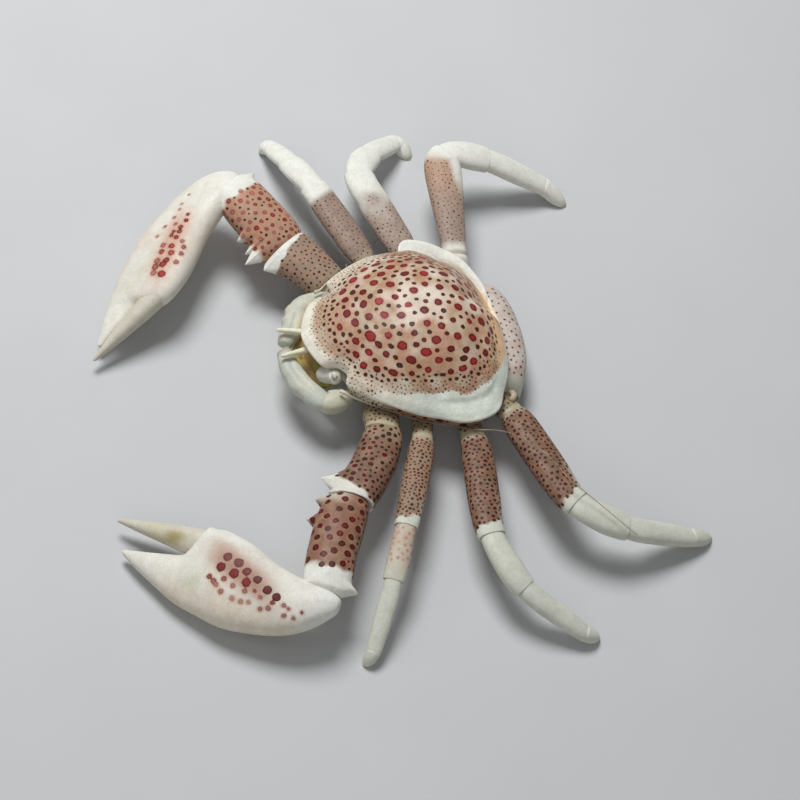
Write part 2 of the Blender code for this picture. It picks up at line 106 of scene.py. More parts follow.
# Each leg: its breadth, the extra breadth of its front and rear edge, and its joints out to the tip.
LEGS = {
    "leg_2": {
        "width": {"left": 2.9, "right": 3.2},
        "extra": {"left": (0.0, 0.0), "right": (0.0, 0.5)},
        "left": ((6.7, 0.8, 3.6), (12.3, -0.2, 4.3), (23.0, -4.5, 5.0), (28.6, -6.9, 4.0),
                 (35.1, -10.1, 1.2), (35.7, -11.0, 0.0)),
        "right": ((-6.7, 0.8, 3.6), (-12.2, -1.4, 4.3), (-22.5, -5.5, 5.3), (-27.5, -7.1, 3.9),
                  (-32.6, -8.3, 1.2), (-32.95, -9.0, 0.1)),
    },
    "leg_3": {
        "width": {"left": 3.5, "right": 3.5},
        "extra": {"left": (0.0, 0.0), "right": (0.5, 0.0)},
        "left": ((6.7, 4.6, 3.6), (12.8, 5.3, 4.3), (25.3, 3.7, 5.0), (31.5, 5.9, 4.0), (36.0, 11.9, 1.2),
                 (35.95, 13.5, 0.0)),
        "right": ((-6.7, 4.6, 3.6), (-12.5, 3.4, 4.3), (-23.6, 0.1, 5.6), (-27.9, 2.5, 3.6),
                  (-31.9, 7.0, 0.9), (-30.0, 8.1, 0.0)),
    },
    "leg_4": {
        "width": {"left": 3.8, "right": 3.8},
        "extra": {"left": (0.1, 0.1), "right": (0.6, 0.0)},
        "left": ((6.7, 8.0, 3.6), (10.2, 10.1, 4.3), (23.2, 13.2, 5.6), (26.1, 18.3, 4.4),
                 (26.2, 26.3, 1.2), (25.8, 28.7, 0.0)),
        "right": ((-6.7, 8.0, 3.6), (-11.4, 8.8, 4.3), (-25.0, 10.2, 6.4), (-24.6, 15.4, 5.0),
                  (-22.7, 22.5, 1.6), (-21.0, 24.8, 0.0)),
    },
}
# How far from a joint the line of a leg starts to bend.
LEG_BEND = 2.6
# How much of a leg's extra breadth each article has at its start and its end.
GROWTH = {"base": (0.0, 0.0), "merus": (0.0, 1.0), "carpus": (1.0, 1.0), "propodus": (1.0, 0.8),
          "dactyl": (0.8, 0.2)}
# Along the article, its half width as a share of the leg's width, and its flatness.
BASE_SHAPE = (((0.0, 0.34), (0.4, 0.40), (1.0, 0.38)), 0.62)
MERUS_SHAPE = (((0.0, 0.38), (0.05, 0.45), (0.2, 0.5), (0.6, 0.5), (0.85, 0.46), (0.96, 0.44),
                (1.0, 0.43)), 0.6)
CLUB_SHAPE = (((0.0, 0.33), (0.1, 0.36), (0.35, 0.41), (0.65, 0.48), (0.85, 0.5), (0.96, 0.47),
               (1.0, 0.44)), 0.6)
CARPUS_SHAPE = (((0.0, 0.36), (0.25, 0.39), (0.65, 0.425), (0.9, 0.405), (1.0, 0.39)), 0.64)
PROPODUS_SHAPE = (((0.0, 0.325), (0.3, 0.345), (0.6, 0.335), (0.85, 0.30), (1.0, 0.27)), 0.7)
DACTYL_SHAPE = (((0.0, 0.26), (0.4, 0.245), (0.65, 0.21), (0.85, 0.15), (1.0, 0.07)), 0.85)

# Each arm's joints, the claw's own axes, its finger's tip and its size.
CHELIPEDS = {
    "left": {
        "root": Vector((6.7, -3.9, 3.8)),
        "base_end": Vector((10.7, -4.1, 4.4)),
        "knee": Vector((19.3, -9.4, 5.0)),
        "wrist": Vector((30.4, -14.8, 4.75)),
        "along": Vector((-0.555, -0.815, -0.15)),
        "across": Vector((-0.82, 0.5, 0.26)),
        "finger_tip": (23.4, 1.5),
        "scale": 0.985,
        "breadth": 0.985,
    },
    "right": {
        "root": Vector((-6.7, -3.9, 3.8)),
        "base_end": Vector((-9.2, -5.4, 4.25)),
        "knee": Vector((-14.6, -9.6, 4.8)),
        "wrist": Vector((-22.9, -15.6, 6.2)),
        "along": Vector((0.75, -0.64, -0.17)),
        "across": Vector((0.62, 0.58, 0.53)),
        "finger_tip": (23.2, -0.9),
        "scale": 1.1,
        "breadth": 0.95,
    },
}
ARM_BEND = 1.6
# Along the article, half width on the inner and the outer side, and half thickness.
ARM_BASE = ((0.0, 1.6, 1.6, 1.1), (0.5, 2.0, 1.9, 1.3), (1.0, 1.85, 1.8, 1.2))
ARM_MERUS = {
    "left": ((0.0, 1.7, 2.0, 1.1), (0.12, 1.95, 2.4, 1.4), (0.5, 1.9, 2.75, 1.6), (0.8, 2.2, 2.6, 1.7),
             (0.95, 2.25, 2.35, 1.65), (1.0, 2.2, 2.3, 1.6)),
    "right": ((0.0, 1.9, 1.7, 1.1), (0.12, 2.6, 2.0, 1.4), (0.5, 3.0, 2.35, 1.7), (0.8, 3.3, 2.5, 1.8),
              (0.95, 3.3, 2.5, 1.75), (1.0, 3.2, 2.4, 1.7)),
}
ARM_CARPUS = {
    "left": ((0.0, 1.8, 1.7, 1.3), (0.08, 2.7, 2.0, 1.65), (0.3, 3.1, 2.1, 1.85), (0.6, 3.0, 2.1, 1.8),
             (0.85, 2.75, 2.3, 1.55), (1.0, 2.4, 2.2, 1.2)),
    "right": ((0.0, 2.0, 2.2, 1.4), (0.08, 2.9, 2.6, 1.7), (0.3, 3.3, 2.85, 1.9), (0.6, 3.2, 2.9, 1.85),
              (0.85, 2.9, 2.85, 1.6), (1.0, 2.4, 2.5, 1.2)),
}
# Teeth on the inner edge, or on the outer one where the height is below zero: place, half length and
# height in mm.
MERUS_TEETH = {"left": ((0.86, 1.7, 1.9), (0.99, 0.5, 0.5)), "right": ((0.95, 1.6, 1.2), (1.0, 0.5, 0.4))}
CARPUS_TEETH = {
    "left": ((0.10, 0.9, 1.0), (0.33, 0.8, 0.9), (0.97, 0.8, -1.0)),
    "right": ((0.14, 1.6, 2.6), (0.24, 0.8, 1.5), (0.42, 0.8, 1.0), (0.97, 0.7, -0.9)),
}
# How closely a tooth is kept to the edge that it stands on.
TOOTH_POWER = 5
# Along the claw, its lower and upper edge, and half thickness.
PALM = {
    "left": (
        (-1.9, -1.0, 0.7, 0.7), (-0.9, -2.2, 1.1, 1.3), (0.4, -3.5, 1.35, 1.7), (2.7, -4.8, 1.5, 2.0),
        (5.7, -5.6, 2.2, 2.2), (8.9, -6.0, 3.4, 2.3), (12.2, -5.5, 3.95, 2.1), (13.2, -5.35, 3.75, 1.95),
        (13.7, -5.25, 3.9, 1.85), (14.1, -5.15, 3.2, 1.75), (14.6, -5.0, 1.3, 1.65),
        (15.0, -4.85, 0.3, 1.5), (15.4, -4.7, 0.0, 1.4), (17.0, -4.0, -0.4, 1.15),
        (19.5, -2.9, -0.95, 0.8), (21.5, -1.85, -1.35, 0.3),
    ),
    "right": (
        (-1.7, -1.3, 1.3, 0.7), (-1.2, -2.2, 1.8, 1.15), (-0.7, -2.8, 2.1, 1.4), (0.4, -3.8, 2.3, 1.7),
        (2.7, -4.9, 2.3, 2.0), (5.7, -5.6, 2.4, 2.2), (8.9, -6.0, 3.2, 2.3), (12.2, -5.5, 3.8, 2.1),
        (13.6, -5.3, 3.75, 1.9), (14.8, -4.9, 3.4, 1.7), (15.4, -4.7, 2.7, 1.55), (15.8, -4.55, 1.4, 1.45),
        (16.2, -4.4, 0.2, 1.35), (17.0, -4.0, -0.1, 1.15), (19.5, -2.9, -0.7, 0.8),
        (21.5, -1.85, -1.2, 0.3),
    ),
}
FINGER_START = (14.2, 1.75)
FINGER = ((0.0, 1.6, 1.6, 1.2), (0.25, 1.35, 1.25, 1.1), (0.6, 0.85, 0.8, 0.8), (0.85, 0.45, 0.45, 0.46),
          (1.0, 0.2, 0.2, 0.2))
# Rows of spots on the palm: both ends (along, across), count, first and last radius, tone and stray.
PALM_ROWS = {
    "left": (
        ((10.8, 1.0), (3.2, -1.85), 6, 0.55, 0.42, 0.62, 0.18),
        ((11.4, -0.5), (6.6, -1.35), 3, 0.55, 0.45, 0.5, 0.12),
        ((12.0, -1.9), (0.5, -2.3), 11, 0.30, 0.20, 0.18, 0.35),
        ((11.2, -2.8), (1.2, -3.4), 9, 0.30, 0.24, 0.10, 0.4),
    ),
    "right": (
        ((13.3, 2.0), (4.6, 0.2), 10, 0.44, 0.24, 0.28, 0.3),
        ((13.6, 0.9), (6.2, -0.4), 8, 0.42, 0.24, 0.18, 0.35),
        ((11.4, 2.8), (8.0, 1.9), 4, 0.34, 0.26, 0.2, 0.2),
        ((9.0, -1.2), (2.5, -1.4), 6, 0.24, 0.15, 0.1, 0.4),
    ),
}

MOUTH_ROOT = Vector((6.6, -6.9, 4.3))
MOUTH_ELBOW = {"left": Vector((7.5, -9.4, 4.6)), "right": Vector((-5.3, -10.5, 4.6))}
MOUTH_PALP_END = {"left": Vector((0.3, -12.8, 4.6)), "right": Vector((-0.7, -12.5, 4.6))}
MOUTH_PALP_BOW = {"left": 0.8, "right": -0.15}
MOUTH_BEND = 0.9
MOUTH_BASE_SHAPE = ((0.0, 1.0, 0.9, 0.8), (0.3, 1.3, 1.25, 1.05), (0.7, 1.4, 1.35, 1.1),
                    (1.0, 1.15, 1.1, 0.9))
MOUTH_PALP_SHAPE = ((0.0, 1.1, 1.15, 0.85), (0.2, 1.25, 1.3, 0.95), (0.5, 1.2, 1.3, 0.95),
                    (0.8, 1.05, 1.1, 0.85), (1.0, 0.8, 0.85, 0.7))
# The brush of mouth hairs: how far forward, and its half width there.
MOUTH_BRUSH = ((-7.7, 4.3), (-8.8, 4.7), (-9.6, 4.1), (-10.4, 3.0), (-11.2, 1.5), (-11.6, 0.8))
MOUTH_BRUSH_Z = 3.5
# Its hairs: their number, how far forward they root, and their half thickness.
HAIRS = 650
HAIR_ROOTS = (-11.4, -7.9)
HAIR_HALF = 0.05
ANTENNULE = (Vector((1.2, -10.6, 5.95)), Vector((1.75, -13.2, 5.85)))
ANTENNULE_SHAPE = ((0.0, 0.38, 0.38, 0.34), (0.3, 0.32, 0.32, 0.3), (0.75, 0.27, 0.27, 0.27),
                   (1.0, 0.2, 0.2, 0.2))
WHIP_STEPS = 90
LAST_LEG_STEPS = 24
ANTENNA = {
    "left": ((6.3, -8.3, 6.3), (7.2, -7.3, 6.3), (8.5, -5.3, 6.15), (9.6, -3.1, 6.0), (10.8, -0.5, 5.7),
             (11.5, 2.0, 5.5), (12.5, 5.0, 5.55), (13.8, 8.3, 6.2), (17.4, 11.2, 7.2), (21.3, 12.8, 7.7),
             (24.0, 15.2, 7.0), (27.6, 18.9, 5.4)),
    "right": ((-7.1, -8.4, 6.4), (-8.4, -7.2, 6.5), (-9.8, -5.3, 6.5), (-11.0, -4.1, 5.7),
              (-12.0, -3.5, 4.0), (-12.9, -2.9, 2.9), (-14.2, -1.2, 2.7), (-16.3, 1.2, 2.8),
              (-17.4, 2.5, 2.7)),
}
LAST_LEG = {
    "left": (Vector((7.05, 10.05, 2.9)), Vector((7.35, 10.9, 4.2)), Vector((8.2, 10.95, 4.85)),
             Vector((8.9, 10.45, 5.05))),
    "right": (Vector((6.2, 10.3, 2.4)), Vector((6.4, 11.2, 3.1)), Vector((6.9, 11.7, 3.3)),
              Vector((7.3, 11.6, 3.4))),
}

# The pleon runs round behind the body and forward again under it.
PLEON_STEPS = 120
PLEON_SEGMENTS = 17
PLEON_DROOP = 1.7
PLEON_PATH = (
    (10.4, 4.3), (12.3, 4.45), (13.4, 3.8), (13.4, 2.8), (12.2, 1.9),
    (9.0, 1.35), (5.5, 1.25), (2.0, 1.3), (-1.0, 1.35), (-3.4, 1.45),
)
PLEON_HALF_WIDTHS = (5.9, 6.2, 6.3, 6.2, 6.0, 5.6, 5.2, 4.9, 4.6, 3.0)
PLEON_CUTS = (0.0, 0.32, 0.55, 0.78, 1.0)
PLEON_BOW = 0.028

# Ground colours.
WHITE = (0.78, 0.79, 0.73)
# White darkened by painted shade, for the legs on the animal's left side, away from the key lamp.
WHITE_IN_PAINTED_SHADE = (0.62, 0.64, 0.56)
CREAM = (0.80, 0.74, 0.58)
TAN = (0.44, 0.265, 0.16)
PINK = (0.50, 0.265, 0.18)
GREENISH = (0.55, 0.48, 0.36)
MAUVE = (0.20, 0.115, 0.075)
LAVENDER = (0.41, 0.335, 0.285)


# Numbers on a surface.

def ramp(low, high, value):
    share = np.clip((value - low) / (high - low), 0, 1)
    return share * share * (3 - 2 * share)


def bump(value, centre, half, power=4):
    return np.exp(-np.abs((value - centre) / half) ** power)


def cloud(points, size, seed):
    """Soft random hills over the points, about -2 to 2, of the given size."""
    rng = np.random.default_rng(seed)
    total = np.zeros(len(points))
    for _ in range(12):
        way = rng.normal(size=3)
        way *= 2 * math.pi / (size * rng.uniform(0.7, 1.6) * np.linalg.norm(way))
        total += np.sin(points @ way + rng.uniform(0, 2 * math.pi))
    return total / math.sqrt(6)


def eased(stations, places):
    """The stations' values at the places, on a smooth line that doesn't overshoot."""
    table = np.array(stations, float)
    x, y = table[:, 0], table[:, 1:]
    slope = np.diff(y, axis=0) / np.diff(x)[:, None]
    tangent = np.zeros_like(y)
    same = slope[:-1] * slope[1:] > 0
    middle = np.zeros_like(slope[:-1])
    middle[same] = (2 * slope[:-1] * slope[1:])[same] / (slope[:-1] + slope[1:])[same]
    tangent[1:-1] = middle
    tangent[0], tangent[-1] = slope[0], slope[-1]
    place = np.clip(places, x[0], x[-1])
    i = np.clip(np.searchsorted(x, place, side="right") - 1, 0, len(x) - 2)
    width = (x[i + 1] - x[i])[:, None]
    t = ((place - x[i])[:, None]) / width
    return ((2 * t ** 3 - 3 * t ** 2 + 1) * y[i] + (t ** 3 - 2 * t ** 2 + t) * width * tangent[i]
            + (3 * t ** 2 - 2 * t ** 3) * y[i + 1] + (t ** 3 - t ** 2) * width * tangent[i + 1])


def points_of(piece):
    flat = np.empty(len(piece.data.vertices) * 3)
    piece.data.vertices.foreach_get("co", flat)
    return flat.reshape(-1, 3)


def move_points(piece, points):
    piece.data.vertices.foreach_set("co", np.ascontiguousarray(points, dtype=np.float32).ravel())
    piece.data.update()


def mixed(under, over, share):
    """One colour under another that covers it by the share at each point."""
    return under + (np.array(over) - under) * np.reshape(share, (-1, 1))


def coats(ground, *layers):
    """The ground under further coats, each a colour and the share that it covers."""
    for colour, share in layers:
        ground = mixed(ground, colour, share)
    return ground


def all_over(points, colour):
    return np.tile(np.array(colour), (len(points), 1))


def unit(vectors):
    return vectors / np.maximum(np.linalg.norm(vectors, axis=1, keepdims=True), 1e-9)


# Spots and ground colour, kept on each piece as attributes.

def scatter(points, allowed, radius, gap, seed, tries=9000, taken=()):
    """Places spots over the allowed points, none nearer to another's edge than the gap at its place."""
    rng = np.random.default_rng(seed)
    radius = np.broadcast_to(radius, len(points))
    gap = np.broadcast_to(gap, len(points))
    centres = np.zeros((len(taken) + tries, 3))
    sizes = np.zeros(len(taken) + tries)
    count = len(taken)
    for k, spot in enumerate(taken):
        centres[k], sizes[k] = spot[0], spot[1]
    fresh = []
    for i in rng.permutation(np.flatnonzero(allowed))[:tries]:
        if count:
            far = np.linalg.norm(centres[:count] - points[i], axis=1) - sizes[:count] - radius[i]
            if far.min() < gap[i]:
                continue
        centres[count], sizes[count] = points[i], radius[i]
        count += 1
        fresh.append((points[i], float(radius[i]), i))
    return fresh


def dots(points, allowed, low, high, gap, seed, tone_low, tone_high, tries=9000, taken=()):
    rng = np.random.default_rng(seed + 500)
    found = scatter(points, allowed, rng.uniform(low, high, len(points)), gap, seed, tries, taken)
    side = np.array((1.0, 0.0, 0.0))
    return [(centre, radius, rng.uniform(tone_low, tone_high), side, 1.0) for centre, radius, _ in found]


def spot_distance(points, spots):
    """Distance in mm from the edge of the nearest spot, below zero inside it, and that spot's tone."""
    edge = np.full(len(points), 2.0)
    tone = np.zeros(len(points))
    for centre, radius, shade, way, stretch in spots:
        offset = points - centre
        reach = radius * stretch + 0.8
        near = np.flatnonzero((np.abs(offset) < reach).all(axis=1))
        offset = offset[near]
        squared = (offset ** 2).sum(axis=1)
        if stretch > 1:
            squared = squared - (offset @ way) ** 2 * (1 - 1 / stretch ** 2)
        distance = np.sqrt(np.maximum(squared, 0)) - radius
        closer = distance < edge[near]
        edge[near[closer]] = distance[closer]
        tone[near[closer]] = shade
    return edge, tone


def paint(piece, ground, edge=None, tone=None):
    mesh = piece.data
    count = len(mesh.vertices)
    colour = mesh.attributes.new("ground", "FLOAT_COLOR", "POINT")
    rgba = np.ones((count, 4), np.float32)
    rgba[:, :3] = np.clip(ground, 0, 1)
    colour.data.foreach_set("color", rgba.ravel())
    for name, values, plain_value in (("spot", edge, 2.0), ("tone", tone, 0.0)):
        attribute = mesh.attributes.new(name, "FLOAT", "POINT")
        kept = np.full(count, plain_value) if values is None else values
        attribute.data.foreach_set("value", np.ascontiguousarray(kept, dtype=np.float32))


# Modelling.

def added(primitive, name, **settings):
    """A new basic mesh."""
    bpy.ops.object.select_all(action="DESELECT")
    primitive(**settings)
    piece = bpy.context.object
    piece.name = name
    return piece


def linked(name, data):
    """A new object in the scene that shows the data."""
    made = bpy.data.objects.new(name, data)
    bpy.context.scene.collection.objects.link(made)
    return made


def edit_all():
    bpy.ops.object.mode_set(mode="EDIT")
    bpy.ops.mesh.select_all(action="SELECT")


def leave_edit():
    bpy.ops.object.mode_set(mode="OBJECT")


def pick(piece):
    bpy.ops.object.select_all(action="DESELECT")
    piece.select_set(True)
    bpy.context.view_layer.objects.active = piece


def modify(piece, kind, **settings):
    pick(piece)
    modifier = piece.modifiers.new(kind, kind)
    for name, value in settings.items():
        setattr(modifier, name, value)
    bpy.ops.object.modifier_apply(modifier=modifier.name)


def drawn_out(name, rings, sides, power=2.2):
    """A closed form drawn out along Z through rings of z, x, y, half width and half height."""
    piece = added(bpy.ops.mesh.primitive_circle_add, name, vertices=sides, radius=1.0, location=(0, 0, 0))
    circle = points_of(piece)
    circle[:, :2] = np.sign(circle[:, :2]) * np.abs(circle[:, :2]) ** (2 / power)
    move_points(piece, circle)
    z, x, y, wide, high = rings[0]
    edit_all()
    bpy.ops.transform.resize(value=(wide, high, 1), center_override=(0, 0, 0))
    bpy.ops.transform.translate(value=(x, y, z))
    for last, ring in zip(rings[:-1], rings[1:]):
        step = (ring[1] - last[1], ring[2] - last[2], ring[0] - last[0])
        bpy.ops.mesh.extrude_region_move(TRANSFORM_OT_translate={"value": step})
        grow = (ring[3] / last[3], ring[4] / last[4], 1)
        bpy.ops.transform.resize(value=grow, center_override=(ring[1], ring[2], ring[0]))
    bpy.ops.mesh.select_all(action="SELECT")
    bpy.ops.mesh.fill_holes(sides=0)
    leave_edit()
    modify(piece, "SUBSURF", levels=2, render_levels=2)
    return piece


def complete(piece, matrix, slot, *nodes):
    """Places a piece in the row frame, in metres, closes its looks and hands it over."""
    piece.data.materials.clear()
    piece.data.materials.append(finishes[slot])
    pick(piece)
    points = np.c_[points_of(piece), np.ones(len(piece.data.vertices))] @ np.array(ROW @ matrix).T
    points[:, 2] = np.maximum(points[:, 2], 0)
    move_points(piece, points[:, :3])
    edit_all()
    bpy.ops.mesh.normals_make_consistent(inside=False)
    leave_edit()
    bpy.ops.object.shade_smooth()
    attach(piece, "root")
    if nodes:
        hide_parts(*nodes)


def limb_line(joints, bend=0.0):
    """A line through the joints with rounded bends, and how far along it each joint lies."""
    points = [joints[0]]
    at = [0]
    for before, here, after in zip(joints[:-2], joints[1:-1], joints[2:]):
        reach = min(bend, (before - here).length * 0.42, (after - here).length * 0.42)
        start = here + (before - here).normalized() * reach
        end = here + (after - here).normalized() * reach
        for k in range(17):
            t = k / 16
            points.append(start * (1 - t) ** 2 + here * 2 * t * (1 - t) + end * t ** 2)
        at.append(len(points) - 9)
    points.append(joints[-1])
    at.append(len(points) - 1)
    table = np.array([tuple(point) for point in points])
    arcs = np.concatenate([[0], np.cumsum(np.linalg.norm(np.diff(table, axis=0), axis=1))])
    return table, arcs, arcs[at]


def on_line(line, place):
    table, arcs, _ = line
    spot = np.stack([np.interp(place, arcs, table[:, axis]) for axis in range(3)], axis=1)
    first = (table[1] - table[0]) / np.linalg.norm(table[1] - table[0])
    last = (table[-1] - table[-2]) / np.linalg.norm(table[-1] - table[-2])
    return spot + np.minimum(place, 0)[:, None] * first + np.maximum(place - arcs[-1], 0)[:, None] * last


def along_line(points, line, start, sign):
    """Carries points made round the Z axis onto the line: X to the side that is ahead, Y up, Z along it."""
    place = start + points[:, 2]
    spot = on_line(line, place)
    ahead = unit(on_line(line, place + 0.25) - on_line(line, place - 0.25))
    level = unit(np.cross(ahead, (0, 0, 1.0)))
    up = np.cross(level, ahead)
    return spot + sign * level * points[:, :1] + up * points[:, 1:2]


def body_rings(length, stations, count, start_cap, ending, end_cap=0.0):
    """Rings of one article: a rounded start, its body, then a collar, a round end or a tip."""
    places = np.linspace(0, 1, count)
    values = eased(stations, places)
    rings = []

    def ring(z, row, share=1.0):
        inner, outer, thick = row
        rings.append((z, (inner - outer) / 2, 0.0, (inner + outer) / 2 * share, thick * share))

    for share in (0.22, 0.55, 0.8, 0.95):
        ring(-start_cap * math.sqrt(1 - share ** 2), values[0], share)
    for place, row in zip(places, values):
        ring(place * length, row)
    last = values[-1]
    if ending == "collar":
        ring(length + 0.08, last, 0.99)
        ring(length + 0.13, last, 0.95)
        ring(length + 0.1, last, 0.88)
        ring(length - 0.1, last, 0.8)
        ring(length - 0.15, last, 0.4)
    elif ending == "round":
        for share in (0.95, 0.8, 0.55, 0.22):
            ring(length + end_cap * math.sqrt(1 - share ** 2), last, share)
    else:
        ring(length + 0.03, last, 0.5)
    return rings


def dress(piece, look, points, length=1.0):
    """Paints a piece by its look at the given points."""
    ground, edge, tone = look(points, length)
    paint(piece, ground, edge, tone)


def make_article(name, line, span, sign, stations, slot, nodes, colouring, sides=20, count=14,
                 start_cap=0.4, ending="collar", end_cap=0.0, sculpt=None, matrix=STILL):
    """One article of a limb over the span of its line; its colouring gives ground, edge and tone."""
    length = span[1] - span[0]
    rings = body_rings(length, stations, count, start_cap, ending, end_cap)
    piece = drawn_out(name, rings, sides)
    points = points_of(piece)
    if sculpt:
        points = sculpt(points, length)
    dress(piece, colouring, points, length)
    move_points(piece, along_line(points, line, span[0], sign))
    complete(piece, matrix, slot, *nodes)


def even(shape, width, extra=(0.0, 0.0), growth=(0.0, 0.0)):
    """Stations of a leg's article, with the extra breadth of its front and its rear edge."""
    profile, flatness = shape
    rows = []
    for place, half in profile:
        grown = growth[0] + (growth[1] - growth[0]) * place
        usual = half * width
        rows.append((place, usual + extra[0] * grown, usual + extra[1] * grown, usual * flatness))
    return rows


# Materials.

def settle(node, **values):
    """Sets sockets by their names, with underscores for blanks."""
    for name, value in values.items():
        node.inputs[name.replace("_", " ")].default_value = value


def shell_finish(name, roughness, grain=1.0, soft=0.05):
    """Hard smooth shell: the painted ground, soft mottling, and spots with a dark rim and a pale halo."""
    material = bpy.data.materials.new(name)
    material.use_nodes = True
    nodes, links = material.node_tree.nodes, material.node_tree.links
    shader = nodes["Principled BSDF"]
    settle(shader, Roughness=roughness, Specular_IOR_Level=0.15, Coat_Weight=0.015, Coat_Roughness=0.2,
           Subsurface_Weight=soft, Subsurface_Radius=(0.0006, 0.0004, 0.0003), Subsurface_Scale=1.0)
    where = nodes.new("ShaderNodeTexCoord")

    def noise(scale, detail):
        texture = nodes.new("ShaderNodeTexNoise")
        settle(texture, Scale=scale, Detail=detail, Roughness=0.55)
        links.new(where.outputs["Object"], texture.inputs["Vector"])
        return texture.outputs["Fac"]

    def attribute(label, output="Fac"):
        node = nodes.new("ShaderNodeAttribute")
        node.attribute_name = label
        return node.outputs[output]

    def span(value, low, high, to_low=0.0, to_high=1.0):
        node = nodes.new("ShaderNodeMapRange")
        node.interpolation_type = "SMOOTHSTEP"
        settle(node, From_Min=low, From_Max=high, To_Min=to_low, To_Max=to_high)
        links.new(value, node.inputs["Value"])
        return node.outputs["Result"]

    def arithmetic(kind, first, second):
        node = nodes.new("ShaderNodeMath")
        node.operation = kind
        for socket, value in zip(node.inputs, (first, second)):
            if isinstance(value, float):
                socket.default_value = value
            else:
                links.new(value, socket)
        return node.outputs["Value"]

    def blend(kind, share, under, over):
        node = nodes.new("ShaderNodeMix")
        node.data_type = "RGBA"
        node.blend_type = kind
        sockets = (node.inputs["Factor"], node.inputs[6], node.inputs[7])
        for socket, value in zip(sockets, (share, under, over)):
            if isinstance(value, float):
                socket.default_value = value
            elif isinstance(value, tuple):
                socket.default_value = (*value, 1)
            else:
                links.new(value, socket)
        return node.outputs[2]

    ground = attribute("ground", "Color")
    wash = span(noise(900, 4.0), 0.35, 0.68)
    speck = span(noise(4200, 2.0), 0.3, 0.72)
    ground = blend("MULTIPLY", 1.0, ground, blend("MIX", wash, (0.95, 0.94, 0.93), (1.03, 1.03, 1.03)))
    ground = blend("MULTIPLY", 0.6, ground, blend("MIX", speck, (0.90, 0.88, 0.86), (1.06, 1.06, 1.06)))

    ragged = arithmetic("MULTIPLY", arithmetic("SUBTRACT", noise(2600, 3.0), 0.5), 0.26)
    edge = arithmetic("ADD", attribute("spot"), ragged)
    tone = attribute("tone")
    bright = arithmetic("MULTIPLY", span(tone, 0.75, 0.45), 0.5)
    halo = arithmetic("MULTIPLY", span(edge, 0.26, 0.02), bright)
    ground = blend("MIX", halo, ground, (0.52, 0.20, 0.15))
    stops = nodes.new("ShaderNodeValToRGB")
    elements = stops.color_ramp.elements
    elements[0].color = (0.50, 0.17, 0.115, 1)
    elements[1].color = (0.05, 0.018, 0.010, 1)
    for position, colour in ((0.35, (0.38, 0.024, 0.026, 1)), (0.6, (0.16, 0.008, 0.007, 1)),
                             (0.8, (0.085, 0.012, 0.006, 1))):
        elements.new(position).color = colour
    links.new(tone, stops.inputs["Fac"])
    rim = blend("MULTIPLY", 1.0, stops.outputs["Color"], (0.28, 0.28, 0.28))
    core = blend("MIX", span(edge, -0.22, -0.06), stops.outputs["Color"], rim)
    inside = arithmetic("MULTIPLY", span(edge, 0.05, -0.04), span(tone, 0.0, 0.3, 0.5, 0.97))
    links.new(blend("MIX", inside, ground, core), shader.inputs["Base Color"])

    # Fine pits on a slow swell: strength, depth, and the size and detail of their noise.
    normal = None
    for strength, depth, scale, detail in ((0.25, 0.00006, 6500, 3.0), (0.35, 0.00025, 1300, 2.0)):
        relief = nodes.new("ShaderNodeBump")
        settle(relief, Strength=strength * grain, Distance=depth)
        links.new(noise(scale, detail), relief.inputs["Height"])
        if normal:
            links.new(normal, relief.inputs["Normal"])
        normal = relief.outputs["Normal"]
    links.new(normal, shader.inputs["Normal"])
    return material


finishes = {
    "shell_spotted": shell_finish("spotted_shell", 0.43),
    "shell_pale": shell_finish("porcelain_shell", 0.42, 0.4, 0.08),
    "shell_mauve": shell_finish("mauve_shell", 0.45, 1.2, 0.06),
    "shell_underside": shell_finish("underside_shell", 0.45),
    "feeler": shell_finish("feeler_skin", 0.42, 0.8),
    "cornea": shell_finish("eye_skin", 0.12, 0.3),
    "mouth_brush": shell_finish("mouth_hair", 0.5, 0.8, 0.2),
}
settle(finishes["cornea"].node_tree.nodes["Principled BSDF"], Coat_Weight=0.25)


# Carapace.

def margin_reach(turn, share=1.0):
    side, ahead = np.abs(np.sin(turn)), np.cos(turn)
    deep = np.where(ahead > 0, FRONT_REACH, REAR_REACH)
    power = np.where(ahead > 0, FRONT_POWER, REAR_POWER)
    oval = ((side / HALF_WIDTH) ** power + (np.abs(ahead) / deep) ** power) ** (-1 / power)
    angle = np.abs(np.arctan2(np.sin(turn), ahead))
    notch = ORBIT_DEPTH * bump(angle, ORBIT_ANGLE, ORBIT_HALF_ANGLE)
    flap = FLAP_OUT * bump(angle, FLAP_ANGLE, FLAP_HALF_ANGLE)
    past = np.clip((angle - BLADE_TIP[0]) / (BLADE_TIP[1] - BLADE_TIP[0]), 0, 1)
    round_tip = np.sqrt(1 - (1 - past) ** 2)
    blade = BLADE_OUT * round_tip * ramp(BLADE_END, BLADE_TIP[1], angle)
    right = np.sin(turn) < 0
    reach = oval * share + np.where(right, 0, flap) * share ** RIM_POWER - notch * share ** RIM_POWER
    return reach + np.where(right, blade, 0) * share ** BLADE_POWER


def margin_height(turn):
    angle = np.abs(np.arctan2(np.sin(turn), np.cos(turn)))
    ahead = np.cos(turn)
    tilt = FRONT_RISE * ramp(0, TILT_END, ahead) - REAR_DROP * ramp(0, TILT_END, -ahead)
    flap = FLAP_UP * bump(angle, FLAP_ANGLE, FLAP_HALF_ANGLE)
    return MARGIN_Z + tilt + flap - RIGHT_RIM_FALL * right_fall(turn)


def right_fall(turn):
    """How far the animal's right rear quarter is let down, 0 to 1: its shell leans that way."""
    angle = np.degrees(np.abs(np.arctan2(np.sin(turn), np.cos(turn))))
    return np.where(np.sin(turn) < 0, ramp(88, 112, angle) * ramp(178, 156, angle), 0)


